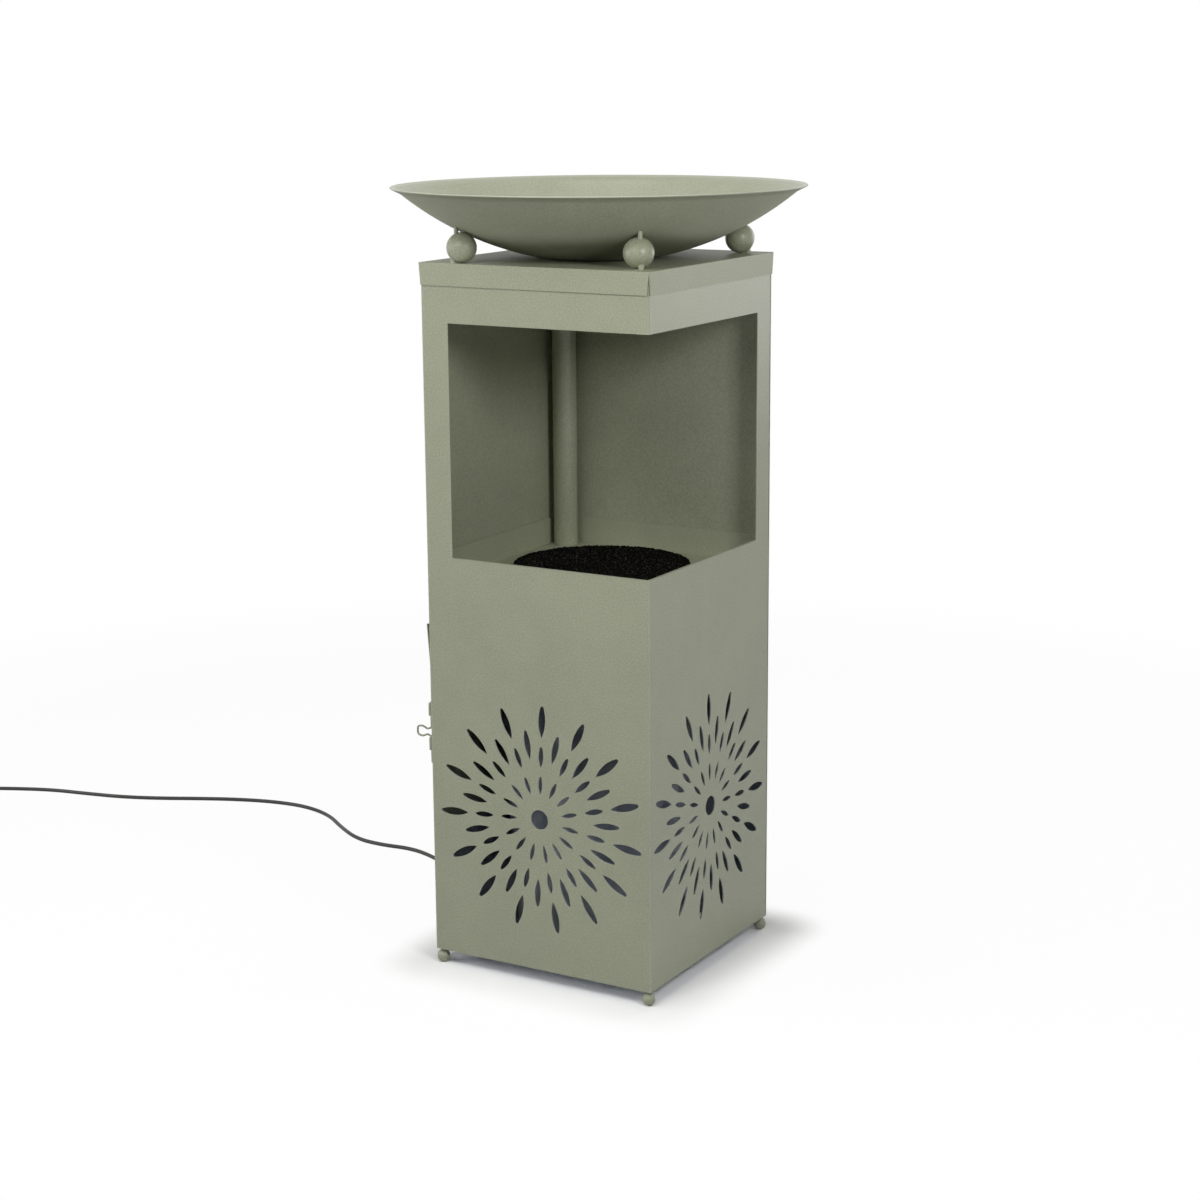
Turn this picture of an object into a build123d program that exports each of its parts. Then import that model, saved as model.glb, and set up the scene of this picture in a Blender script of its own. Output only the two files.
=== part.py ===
from build123d import *

import os
from math import cos, hypot, pi, radians, sin, sqrt, tan

# Column fountain in folded sheet steel.
#
# A square column holds a tub with a pump. The pump lifts water through a riser in the back corner to a
# shallow bowl on the lid. An overflow lets it fall through the open niche onto a foam disc in a splash
# pan, and back into the tub. Millimetres, +Z up, origin on the floor under the middle of the column.
# The front looks along -Y and the service hatch is on the left, at -X.

os.makedirs("parts", exist_ok=True)

# ------------------------------------------------------------------ driving sizes
# Column
column_side = 300.0
column_height = 833.8
sheet_t = 1.2
bend_r = 2.0
seam_gap = 0.1
return_flange = 18.0

# Feet
foot_ball_d = 16.0
foot_flat_depth = 0.4
foot_post_d = 4.0
foot_post_length = 7.5
foot_show = 1.9
foot_inset = 6.0

# Window of the niche: its sill above the column's bottom edge, and its header below the top edge
window_sill = 491.0
window_header = 67.5
stile = 35.2

# Sunburst cut-outs
sunburst_height = 187.9
sunburst_fold = 15
sunburst_hole_d = 23.6
ray_step = 360.0 / sunburst_fold
# each ring: part of a step that it is turned by, inner radius, outer radius, petal width
petal_rings = (
    (0.0, 31.1, 53.0, 5.5),
    (0.0, 64.0, 89.5, 6.8),
    (0.5, 73.2, 108.4, 8.3),
    (0.0, 100.4, 139.0, 9.7),
)
# on the front and the right face: sideways shift from the face's middle, and turn
sunburst_shifts = (0.6, -2.8)
sunburst_turns = (-2.3, 1.9)
# parts of a petal's length and width
petal_widest = 0.56
petal_cap_length = 0.06
petal_cap_width = 0.48

# Base plate
base_flange = 15.0
vent_d = 58.0
vent_offset = 97.0
drain_d = 80.0
tab_width = 5.0
tab_drop = 2.5
tab_offset = 24.0

# Splash pan, its drain field and the ledges under it
pan_depth = 33.0
drain_hole_d = 12.0
drain_ring_step = 25.0
drain_rings = 3
ledge_leg = 12.0
ledge_length = 200.0

# Foam disc
foam_d = 215.0
foam_t = 14.0

# Riser
riser_d = 30.0
riser_wall = 1.5
riser_gap = 4.7
riser_drop = 39.5
bush_length = 12.0
bush_flange = 2.0

# Hoses
hose_d = 16.0
hose_bore = 12.0
hose_overrun = 3.0
hose_hole_gap = 4.0
barb_length = 24.0

# Lid
lid_gap = 0.8
lid_flange = 26.0
lid_slit_top = 0.6
lid_slit_bottom = 3.4
lid_edge_r = 0.9

# Bowl
bowl_sphere_r = 366.0
bowl_base_r = 71.0
bowl_lip_start_r = 231.0
bowl_rim_r = 243.0
bowl_lip_rise = 5.9
bowl_t = 1.7
bowl_edge_share = 0.45

# Ball spacers
spacer_d = 35.0
spacer_low_post_d = 6.5
spacer_low_post_offset = 10.0
spacer_high_post_d = 5.0
spacer_high_post_offset = 6.0
# turn of each ball about the column from its corner, in the corners' order
spacer_turns = (10.0, 0.0, 0.0, 0.0)

# Fittings through the lid and the bowl
seal_t = 1.0
seal_rim = 9.0
neck_d = 14.0
feed_body_d = 20.0
feed_bore = 8.0
feed_nut_af = 22.0
feed_nut_t = 5.0
neck_show = 3.0
nozzle_d = 12.0
nozzle_tip_d = 17.0
nozzle_bore = 6.0
nozzle_height = 30.0
nozzle_flare = 9.0
overflow_d = 22.0
overflow_bore = 18.0
overflow_rise = 28.0
overflow_drop = 45.0
overflow_offset = 32.0
overflow_flange_d = 36.0
overflow_flange_t = 3.0
overflow_nut_af = 32.0
overflow_nut_t = 6.0
crossover_drop = 19.5
elbow_d = 18.0
elbow_height = 22.0
spigot_length = 18.0
spigot_gap = 0.3
hose_end_gap = 1.0

# Reservoir tub
tub_height = 342.0
tub_top_r = 128.0
tub_base_r = 105.0
tub_wall = 2.0
tub_rim = 4.0
tub_rim_height = 9.0
tub_base_edge_r = 3.0
tub_rim_edge_r = 2.4

# Pump
pump_x = -34.0
pump_y = 30.0
pump_width = 74.0
pump_depth = 54.0
pump_height = 58.0
pump_edge_r = 5.0
pump_foot_d = 14.0
pump_foot_height = 8.0
pump_foot_inset = 12.0
chamber_d = 36.0
chamber_depth = 16.0
chamber_height = 24.0
rotor_d = 20.0
rotor_length = 24.0
rotor_gap = 0.6
shaft_d = 3.0
shaft_hold = 4.0
blade_count = 4
blade_t = 2.0
blade_gap = 1.5
blade_set_back = 2.0
impeller_float = 0.6
spigot_bore = 8.0
pump_spigot_length = 18.0
cover_width = 52.0
cover_depth = 10.0
cover_wall = 2.5
cover_low = 2.0
cover_high = 6.0
cover_boss_d = 9.0
intake_slots = 7
intake_slot_w = 3.0
intake_slot_h = 30.0
lead_gland_x = -62.0
lead_gland_y = 12.0

# Service hatch in the left face
hatch_bottom = 145.0
hatch_opening_height = 250.0
hatch_opening_front = 15.0
hatch_opening_back = 42.0
hatch_overlap_front = 12.0
hatch_overlap = 12.0
hatch_overlap_back = 10.0
hatch_gap = 0.3
corner_fold_down = 60.0
corner_fold_along = 30.0
corner_fold_angle = 10.0

# Hinges
hinge_height = 50.0
hinge_inset = 45.0
hinge_knuckle_d = 5.2
hinge_pin_d = 2.5
hinge_axis_gap = 4.0
leaf_t = 1.2
leaf_width = 26.0
fixed_leaf_trim = 2.0
knuckle_gap = 0.4
rivet_d = 3.2
rivet_head_d = 6.4
rivet_head_t = 1.0
rivet_head_edge_r = 0.8
rivet_tail_d = 5.0
rivet_tail_t = 1.2
rivet_spread = 30.0
rivet_edge = 1.0

# Wire pull, with heights from the column's bottom edge
pull_height = 271.6
pull_plate_t = 1.5
pull_plate_width = 10.0
pull_plate_height = 74.0
pull_plate_inset = 1.0
pull_plate_low = -34.0
pull_tube_d = 6.5
pull_tube_length = 15.0
pull_tube_low = -22.0
pull_tube_high = 21.0
wire_d = 2.4
wire_above = 38.0
wire_below = 38.0
loop_reach = 20.3
loop_half = 5.6
loop_neck = 3.4
loop_neck_reach = 6.0
loop_shoulder = 6.2
loop_shoulder_reach = 12.8
loop_radii = (1.6, 2.2, 2.0, 4.0)

# Door magnet
magnet_depth = 8.0
magnet_width = 8.0
magnet_height = 30.0
magnet_gap = 0.4
magnet_leg = 8.0
bracket_t = 1.5

# Power cord and plug
cord_d = 5.5
grommet_y = 85.0
grommet_z = 42.0
grommet_neck_d = 10.0
grommet_flange_d = 16.0
grommet_flange_t = 2.5
grommet_inner_d = 14.0
grommet_inner_t = 2.0
grommet_nose_length = 20.0
grommet_nose_d = 7.6
coil_turn_d = 60.5
coil_band = 2.0
plug_leave_angle = 168.0
relief_length = 24.0
relief_tip_d = 7.1
relief_d = 9.0
plug_length = 36.0
plug_shoulder = 12.0
plug_width = 35.0
plug_nose_width = 26.0
plug_t = 13.7
plug_edge_r = 2.5
plug_pin_d = 4.0
plug_pin_length = 19.0
plug_pin_pitch = 18.6
plug_pin_end_r = 1.6

# Pump's lead and hose: how far they rise straight up, and how they pass the tub's rim
lead_rise = 60.0
lead_below_rim = 40.0
lead_over_rim = 23.0
lead_past_rim = 30.0
hose_start = 1.0
hose_rise = 64.0
hose_below_pan = 19.0

# Clearances, how far a cutting shape runs past a face, and the part of a run that its bends take
fit_gap = 0.05
running_gap = 0.06
hole_gap = 0.3
over = 1.0
bend_share = 0.45

# ------------------------------------------------------------------ places worked out from them
half = column_side / 2
foot_ball_z = foot_ball_d / 2 - foot_flat_depth
shell_bottom = foot_ball_z + foot_ball_d / 2 + foot_show
shell_top = shell_bottom + column_height
liner_half = half - 2 * sheet_t - 2 * seam_gap
foot_centre = half - foot_inset

sunburst_z = shell_bottom + sunburst_height
front_plane = Plane(origin=(0, -half, sunburst_z), x_dir=(1, 0, 0), z_dir=(0, -1, 0))
right_plane = Plane(origin=(half, 0, sunburst_z), x_dir=(0, 1, 0), z_dir=(1, 0, 0))

window_bottom = shell_bottom + window_sill
window_top = shell_top - window_header
pan_floor = window_bottom - pan_depth
pan_under = pan_floor - sheet_t
base_top = shell_bottom + sheet_t

riser_bore = riser_d - 2 * riser_wall
riser_centre = liner_half - sheet_t - riser_gap - riser_d / 2
riser_top = shell_top - riser_drop
bush_top = riser_top + bush_flange
hose_top = bush_top + hose_overrun
barb_d = hose_bore - 2 * fit_gap

lid_half = half + lid_gap + sheet_t
lid_top = shell_top + sheet_t
bowl_bottom = lid_top + seal_t
bowl_floor = bowl_bottom + bowl_t
bowl_centre_z = bowl_bottom + sqrt(bowl_sphere_r**2 - bowl_base_r**2)
neck_top = bowl_floor + feed_nut_t + neck_show
crossover_z = shell_top - crossover_drop

pump_back = pump_y + pump_depth / 2
pump_bottom = base_top + tub_wall + pump_foot_height
pump_top = pump_bottom + pump_height
rotor_z = pump_bottom + chamber_height
outlet_y = pump_back - chamber_depth / 2

hatch_low = shell_bottom + hatch_bottom
hatch_high = hatch_low + hatch_opening_height
opening_front = -half + hatch_opening_front
opening_back = half - hatch_opening_back
door_front = opening_front - hatch_overlap_front
door_back = opening_back + hatch_overlap_back
door_low = hatch_low - hatch_overlap
door_high = hatch_high + hatch_overlap
door_inner = -half - hatch_gap
door_outer = door_inner - sheet_t
hinge_y = door_back + hinge_axis_gap
hinge_x = door_inner - hinge_knuckle_d / 2
hinge_levels = (door_low + hinge_inset, door_high - hinge_inset)

pull_z = shell_bottom + pull_height
pull_plate_outer = door_outer - pull_plate_t
pull_x = pull_plate_outer - pull_tube_d / 2
pull_y = door_front + pull_plate_inset + pull_plate_width / 2

lead_d = cord_d
cord_r = cord_d / 2

# The power cord's route, from the grommet's inner end to where its coil begins, chosen by hand.
cord_route = [
    (-147.0, grommet_y, grommet_z),
    (-197.0, grommet_y, grommet_z),
    (-244.0, 97.0, 26.0),
    (-287.0, 117.0, 7.0),
    (-330.0, 144.0, cord_r),
    (-372.0, 168.0, cord_r),
    (-418.0, 183.0, cord_r),
    (-466.0, 176.0, cord_r),
    (-512.0, 181.0, cord_r),
    (-562.0, 212.0, cord_r),
    (-612.0, 250.0, cord_r),
    (-668.0, 267.0, cord_r),
    (-724.0, 262.0, cord_r),
    (-780.0, 244.0, cord_r),
    (-833.0, 219.0, cord_r),
    (-884.0, 192.0, cord_r),
    (-938.0, 170.0, cord_r),
    (-996.0, 157.0, cord_r),
    (-1055.0, 146.0, cord_r),
    (-1112.0, 122.0, cord_r),
    (-1166.0, 94.0, cord_r),
]

# The pump's lead: up inside the tub, over its rim, and down the corner to the grommet.
rim_z = base_top + tub_height
lead_route = [
    (lead_gland_x, lead_gland_y, pump_top),
    (lead_gland_x, lead_gland_y, pump_top + lead_rise),
    (-100.0, 20.0, rim_z - lead_below_rim),
    (-112.0, 22.0, rim_z + lead_over_rim),
    (-140.0, 26.0, rim_z + lead_over_rim),
    (-141.5, 30.0, rim_z - lead_past_rim),
    (-134.0, 66.0, 210.0),
    (-114.0, 84.0, 118.0),
    (-112.0, grommet_y, grommet_z),
    (-147.0, grommet_y, grommet_z),
]

# The riser hose: up from the pump's spigot, out over the tub's rim, and up inside the riser.
hose_route = [
    (pump_x, outlet_y, pump_top + hose_start),
    (pump_x, outlet_y, pump_top + hose_rise),
    (-75.0, 79.0, rim_z),
    (-riser_centre, riser_centre, pan_under - hose_below_pan),
    (-riser_centre, riser_centre, hose_top),
]

# ------------------------------------------------------------------ helpers
LOW = (Align.CENTER, Align.CENTER, Align.MIN)
TOWARDS_CENTRE = Vector(1, -1, 0).normalized()
CORNERS = [(x, y) for x in (-1, 1) for y in (-1, 1)]


def block(x_span, y_span, z_span):
    """A box between pairs of coordinates."""
    size = [span[1] - span[0] for span in (x_span, y_span, z_span)]
    middle = [(span[0] + span[1]) / 2 for span in (x_span, y_span, z_span)]
    return Pos(*middle) * Box(*size)


def rod(d, z_low, z_high, x=0.0, y=0.0):
    """An upright cylinder between two heights."""
    return Pos(x, y, z_low) * Cylinder(d / 2, z_high - z_low, align=LOW)


def tube(d, bore, z_low, z_high, x=0.0, y=0.0):
    """An upright tube between two heights."""
    return rod(d, z_low, z_high, x, y) - rod(bore, z_low, z_high, x, y)


def rod_along(start, direction, d, length):
    """A cylinder from a start point along a direction."""
    plane = Plane(origin=start, z_dir=direction)
    return plane * Cylinder(d / 2, length, align=LOW)


def rounded(face, points, radius):
    """The face with the corners nearest to the points rounded."""
    for point in points:
        corner = face.vertices().sort_by_distance(Vector(*point))[0]
        face = fillet(corner, radius)
    return face


def smooth_path(points):
    """Straight runs joined by tangent arcs, each as large as its two runs allow."""
    nodes = [Vector(*point) for point in points]
    radii = []
    for before, here, after in zip(nodes, nodes[1:], nodes[2:]):
        run_in = here - before
        run_out = after - here
        half_turn = radians(run_in.get_angle(run_out)) / 2
        radii.append(bend_share * min(run_in.length, run_out.length) / tan(half_turn))
    return FilletPolyline(*nodes, radius=radii), radii


def swept(points, d, bore=0.0):
    """A round cord or hose along a route, with its volume set against section times length."""
    path, radii = smooth_path(points)
    section = Circle(d / 2)
    if bore:
        section -= Circle(bore / 2)
    plane = Plane(origin=path @ 0, z_dir=path % 0)
    body = sweep(plane * section, path=path)
    expected = pi * (d**2 - bore**2) / 4 * path.length
    print("length %.1f  volume/expected %.5f" % (path.length, body.volume / expected))
    print("radii", [round(radius, 1) for radius in radii])
    return body


# ------------------------------------------------------------------ column
def folded_shell():
    """Two faces at a right angle, with a flange folded in behind the next shell's free edge."""
    fold = half - sheet_t - seam_gap
    plan = make_face(Polyline(
        (-half, -half), (half, -half), (half, fold), (half - return_flange, fold),
        (half - return_flange, fold - sheet_t), (half - sheet_t, fold - sheet_t),
        (half - sheet_t, -half + sheet_t), (-half, -half + sheet_t), close=True))
    plan = rounded(plan, [(half, -half), (half, fold)], bend_r)
    inner = [(half - sheet_t, -half + sheet_t), (half - sheet_t, fold - sheet_t)]
    plan = rounded(plan, inner, bend_r - sheet_t)
    return Pos(0, 0, shell_bottom) * extrude(plan, column_height)


def petal(inner_r, outer_r, width):
    """A leaf along +Y, pointed at its inner tip and blunter at its outer tip."""
    length = outer_r - inner_r
    cap_half = petal_cap_width * width / 2
    cap_start = outer_r - petal_cap_length * length
    widest = inner_r + petal_widest * length
    side = ThreePointArc((0, inner_r), (width / 2, widest), (cap_half, cap_start))
    cap = ThreePointArc((cap_half, cap_start), (0, outer_r), (-cap_half, cap_start))
    other = ThreePointArc((-cap_half, cap_start), (-width / 2, widest), (0, inner_r))
    return make_face([side, cap, other])


def sunburst():
    """All the cut-outs of one face, drawn flat about the middle."""
    cuts = [Circle(sunburst_hole_d / 2)]
    for turn, inner_r, outer_r, width in petal_rings:
        leaf = petal(inner_r, outer_r, width)
        for index in range(sunburst_fold):
            cuts.append(Rot(0, 0, (index + turn) * ray_step) * leaf)
    return cuts


def sunburst_cutters(plane, shift, turn):
    """One face's cut-outs as solids that also go through a flange behind the face."""
    place = plane.location * Pos(shift, 0, 0) * Rot(0, 0, turn)
    depth = 2 * sheet_t + seam_gap + over
    return [place * extrude(cut, amount=depth, both=True) for cut in sunburst()]


def make_front_shell():
    """Front and right faces, with the niche's window round their corner."""
    shell = folded_shell()
    shell -= block((-half + stile, half + over), (-half - over, half - stile),
                   (window_bottom, window_top))
    shell -= sunburst_cutters(front_plane, sunburst_shifts[0], sunburst_turns[0])
    return shell - sunburst_cutters(right_plane, sunburst_shifts[1], sunburst_turns[1])


def rivet_places(y):
    """Two rivets in each hinge leaf."""
    return [(y, level + step * rivet_spread / 2) for level in hinge_levels for step in (-1, 1)]


def rivet_holes(y):
    """Holes for the rivets of one side of the hinges, along X."""
    start = door_outer - leaf_t - over
    length = leaf_t + door_outer_gap + 2 * sheet_t + 2 * over
    return [rod_along((start, place_y, z), (1, 0, 0), rivet_d + 2 * fit_gap, length)
            for place_y, z in rivet_places(y)]


door_outer_gap = -half - door_outer
fixed_rivet_y = hinge_y + leaf_width / 2
door_rivet_y = hinge_y - leaf_width + rivet_head_d / 2 + rivet_edge


def make_rear_shell():
    """Left and back faces, with the hatch opening and the hole for the cord's grommet.

    The flange behind the front face has the same cut-outs as the face.
    """
    shell = Rot(0, 0, 180) * folded_shell()
    shell -= block((-half - over, -half + sheet_t + over), (opening_front, opening_back),
                   (hatch_low, hatch_high))
    shell -= rod_along((-half - over, grommet_y, grommet_z), (1, 0, 0),
                       grommet_neck_d + 2 * fit_gap, sheet_t + 2 * over)
    shell -= sunburst_cutters(front_plane, sunburst_shifts[0], sunburst_turns[0])
    return shell - rivet_holes(fixed_rivet_y)


def tray(z_low, z_high):
    """A folded tray that fits inside the column."""
    outer = extrude(rounded(
        Rectangle(2 * liner_half, 2 * liner_half),
        [(x * liner_half, y * liner_half) for x, y in CORNERS], bend_r), z_high - z_low)
    inner_half = liner_half - sheet_t
    inner = extrude(rounded(
        Rectangle(2 * inner_half, 2 * inner_half),
        [(x * inner_half, y * inner_half) for x, y in CORNERS], bend_r - sheet_t), z_high - z_low)
    return Pos(0, 0, z_low) * (outer - Pos(0, 0, sheet_t) * inner)


def make_base_plate():
    """A tray with air vents round the tub, a drain, and two tabs below the side faces."""
    plate = tray(shell_bottom, shell_bottom + base_flange)
    cut_low = shell_bottom - over
    cut_high = base_top + over
    for x, y in CORNERS:
        plate -= rod(vent_d, cut_low, cut_high, x * vent_offset, y * vent_offset)
    plate -= rod(drain_d, cut_low, cut_high)
    for side in (-1, 1):
        x_span = sorted((side * liner_half, side * (liner_half - sheet_t)))
        plate += block(x_span, (tab_offset - tab_width / 2, tab_offset + tab_width / 2),
                       (shell_bottom - tab_drop, shell_bottom + sheet_t))
    return plate


def make_feet():
    """Ball feet with a small flat to stand on, and the posts that join them to the base plate."""
    balls = []
    posts = []
    below = block((-half, half), (-half, half), (-foot_ball_d, 0))
    for x, y in CORNERS:
        place = (x * foot_centre, y * foot_centre)
        post_low = shell_bottom - foot_post_length
        socket = rod(foot_post_d + 2 * fit_gap, post_low, shell_bottom, *place)
        balls.append(Pos(*place, foot_ball_z) * Sphere(foot_ball_d / 2) - socket - below)
        posts.append(rod(foot_post_d, post_low, shell_bottom, *place))
    return balls, posts


def make_pan_ledges():
    """Four angle strips on the walls, which carry the splash pan."""
    wall = half - sheet_t
    strips = []
    for quarter in range(4):
        leg = block((wall - sheet_t, wall), (-ledge_length / 2, ledge_length / 2),
                    (pan_under - ledge_leg, pan_under))
        shelf = block((wall - ledge_leg, wall), (-ledge_length / 2, ledge_length / 2),
                      (pan_under - sheet_t, pan_under))
        strips.append(Rot(0, 0, 90 * quarter) * (leg + shelf))
    return strips


def make_splash_pan():
    """A tray whose upstand ends level with the window, with a drain field under the foam."""
    pan = tray(pan_under, window_bottom)
    cut_span = (pan_under - over, pan_floor + over)
    holes = [rod(drain_hole_d, *cut_span)]
    for ring in range(1, drain_rings + 1):
        for index in range(6 * ring):
            angle = radians(360.0 * index / (6 * ring))
            reach = ring * drain_ring_step
            holes.append(rod(drain_hole_d, *cut_span, reach * cos(angle), reach * sin(angle)))
    holes.append(rod(hose_d + 2 * hose_hole_gap, *cut_span, -riser_centre, riser_centre))
    return pan - holes


# ------------------------------------------------------------------ riser
def make_riser_pipe():
    return tube(riser_d, riser_bore, pan_floor, riser_top, -riser_centre, riser_centre)


def make_riser_bush():
    """A flanged plug that centres the hose in the riser's top."""
    place = (-riser_centre, riser_centre)
    bush = rod(riser_bore - 2 * fit_gap, riser_top - bush_length, riser_top, *place)
    bush += rod(riser_d, riser_top, bush_top, *place)
    return bush - rod(hose_d + 2 * fit_gap, riser_top - bush_length - over, bush_top + over, *place)


def make_riser_hose():
    return swept(hose_route, hose_d, hose_bore)


# ------------------------------------------------------------------ lid, bowl and fittings
def fitting_holes(z_low, z_high):
    """Clearance holes for the feed and the overflow."""
    return [
        rod(neck_d + 2 * hole_gap, z_low, z_high),
        rod(overflow_d + 2 * hole_gap, z_low, z_high, overflow_offset, -overflow_offset),
    ]


def make_lid():
    """A plate with four flanges folded down, whose corners are slit open."""
    plate = block((-lid_half, lid_half), (-lid_half, lid_half), (shell_top, lid_top))
    edge_z = lid_top - lid_flange
    wide = lid_half - lid_slit_top
    narrow = lid_half - lid_slit_bottom
    outline = make_face(Polyline((-wide, lid_top), (wide, lid_top), (narrow, edge_z),
                                 (-narrow, edge_z), close=True))
    flange = extrude(Plane(origin=(0, -lid_half, 0), x_dir=(1, 0, 0), z_dir=(0, -1, 0)) * outline,
                     -sheet_t)
    lid = plate
    for quarter in range(4):
        lid += Rot(0, 0, 90 * quarter) * flange
    rims = lid.edges().group_by(Axis.Z)[-1].filter_by(lambda edge: edge.length > lid_half)
    lid = fillet(rims, lid_edge_r)
    return lid - fitting_holes(shell_top - over, lid_top + over)


def make_bowl():
    """A shallow spun dish with a flat base and a flared lip."""
    start_z = bowl_centre_z - sqrt(bowl_sphere_r**2 - bowl_lip_start_r**2)
    lip = Vector(bowl_rim_r - bowl_lip_start_r, bowl_lip_rise)
    across = Vector(-lip.Y, lip.X).normalized() * bowl_t
    inner_r = bowl_sphere_r - bowl_t
    outer_rim = Vector(bowl_rim_r, start_z + bowl_lip_rise)
    inner_rim = outer_rim + across
    # the lip's inner line runs back from the rim until it meets the inner sphere
    slope = lip.Y / lip.X
    drop = inner_rim.Y - slope * inner_rim.X - bowl_centre_z
    a = 1 + slope**2
    b = 2 * slope * drop
    c = drop**2 - inner_r**2
    inner_lip_r = (-b + sqrt(b**2 - 4 * a * c)) / (2 * a)
    inner_lip = (inner_lip_r, slope * inner_lip_r + drop + bowl_centre_z)
    inner_base_r = sqrt(inner_r**2 - (bowl_centre_z - bowl_floor)**2)

    def on_sphere(radius, at_r):
        return (at_r, bowl_centre_z - sqrt(radius**2 - at_r**2))

    mid_r = (bowl_base_r + bowl_lip_start_r) / 2
    section = make_face([
        Line((0, bowl_bottom), (bowl_base_r, bowl_bottom)),
        ThreePointArc((bowl_base_r, bowl_bottom), on_sphere(bowl_sphere_r, mid_r),
                      (bowl_lip_start_r, start_z)),
        Line((bowl_lip_start_r, start_z), (outer_rim.X, outer_rim.Y)),
        Line((outer_rim.X, outer_rim.Y), (inner_rim.X, inner_rim.Y)),
        Line((inner_rim.X, inner_rim.Y), inner_lip),
        ThreePointArc(inner_lip, on_sphere(inner_r, mid_r), (inner_base_r, bowl_floor)),
        Line((inner_base_r, bowl_floor), (0, bowl_floor)),
        Line((0, bowl_floor), (0, bowl_bottom)),
    ])
    rim = [(outer_rim.X, outer_rim.Y), (inner_rim.X, inner_rim.Y)]
    section = rounded(section, rim, bowl_edge_share * bowl_t)
    dish = revolve(Plane.XZ * section, Axis.Z)
    return dish - fitting_holes(bowl_bottom - over, bowl_floor + over)


def make_spacers():
    """Balls that touch the lid and the bowl, with small posts welded at their outer sides."""
    ball_r = spacer_d / 2
    ball_z = lid_top + ball_r
    reach = sqrt((bowl_sphere_r + ball_r)**2 - (bowl_centre_z - ball_z)**2)
    balls = []
    posts = []
    for (x, y), turn in zip(CORNERS, spacer_turns):
        outward = Vector(x, y).normalized()
        centre = outward.rotate(Axis.Z, turn) * reach
        ball = Pos(centre.X, centre.Y, ball_z) * Sphere(ball_r)
        low = centre + outward * spacer_low_post_offset
        high = centre + outward * spacer_high_post_offset
        low_post = rod(spacer_low_post_d, lid_top, ball_z, low.X, low.Y)
        high_post = rod(spacer_high_post_d, ball_z, bowl_centre_z, high.X, high.Y)
        high_post -= Pos(0, 0, bowl_centre_z) * Sphere(bowl_sphere_r)
        balls.append(ball)
        posts.append(low_post - ball)
        posts.append(high_post - ball)
    return balls, posts


def make_bowl_seals():
    """Flat rings between the lid and the bowl, one round each fitting."""
    inner = [neck_d + 2 * hole_gap, overflow_d + 2 * hole_gap]
    places = [(0, 0), (overflow_offset, -overflow_offset)]
    return [tube(bore + 2 * seal_rim, bore, lid_top, bowl_bottom, *place)
            for bore, place in zip(inner, places)]


def make_feed_fitting():
    """A bulkhead elbow under the lid whose neck comes up through the bowl."""
    outward = -TOWARDS_CENTRE
    low = crossover_z - elbow_height / 2
    fitting = rod(feed_body_d, low, shell_top) + rod(neck_d, shell_top, neck_top)
    start = Vector(0, 0, crossover_z)
    reach = feed_body_d / 2 + barb_length
    fitting += rod_along(start, outward, barb_d, reach)
    fitting -= rod(feed_bore, crossover_z - feed_bore / 2, neck_top + over)
    return fitting - rod_along(start, outward, feed_bore, reach + over)


def hex_nut(across_flats, thickness, bore):
    outer = extrude(RegularPolygon(across_flats / 2, 6, major_radius=False), thickness)
    return outer - Cylinder(bore / 2, 3 * thickness)


def make_nozzle():
    """A short spout with a flared tip."""
    high = neck_top + nozzle_height
    outline = Polyline((nozzle_bore / 2, neck_top), (nozzle_d / 2, neck_top),
                       (nozzle_d / 2, high - nozzle_flare), (nozzle_tip_d / 2, high),
                       (nozzle_bore / 2, high), close=True)
    return revolve(Plane.XZ * make_face(outline), Axis.Z)


def make_overflow_pipe():
    """A standpipe with a flange on the bowl's floor, open down into the niche."""
    place = (overflow_offset, -overflow_offset)
    low = lid_top - overflow_drop
    high = bowl_floor + overflow_rise
    pipe = rod(overflow_d, low, high, *place)
    pipe += rod(overflow_flange_d, bowl_floor, bowl_floor + overflow_flange_t, *place)
    return pipe - rod(overflow_bore, low - over, high + over, *place)


def make_crossover_elbow():
    """An elbow under the lid whose spigot drops into the riser hose."""
    place = (-riser_centre, riser_centre)
    low = crossover_z - elbow_height / 2
    elbow = rod(elbow_d, low, low + elbow_height, *place)
    spigot_d = hose_bore - 2 * spigot_gap
    elbow += rod(spigot_d, low - spigot_length, low, *place)
    start = Vector(*place, crossover_z)
    reach = elbow_d / 2 + barb_length
    elbow += rod_along(start, TOWARDS_CENTRE, barb_d, reach)
    elbow -= rod(feed_bore, low - spigot_length - over, crossover_z + feed_bore / 2, *place)
    return elbow - rod_along(start, TOWARDS_CENTRE, feed_bore, reach + over)


def make_crossover_tube():
    """The hose under the lid, pushed over both barbs."""
    corner = Vector(-riser_centre, riser_centre, crossover_z)
    start = corner + TOWARDS_CENTRE * (elbow_d / 2 + hose_end_gap)
    length = hypot(riser_centre, riser_centre) - elbow_d / 2 - feed_body_d / 2 - 2 * hose_end_gap
    return (rod_along(start, TOWARDS_CENTRE, hose_d, length)
            - rod_along(start, TOWARDS_CENTRE, hose_bore, length))


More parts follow.
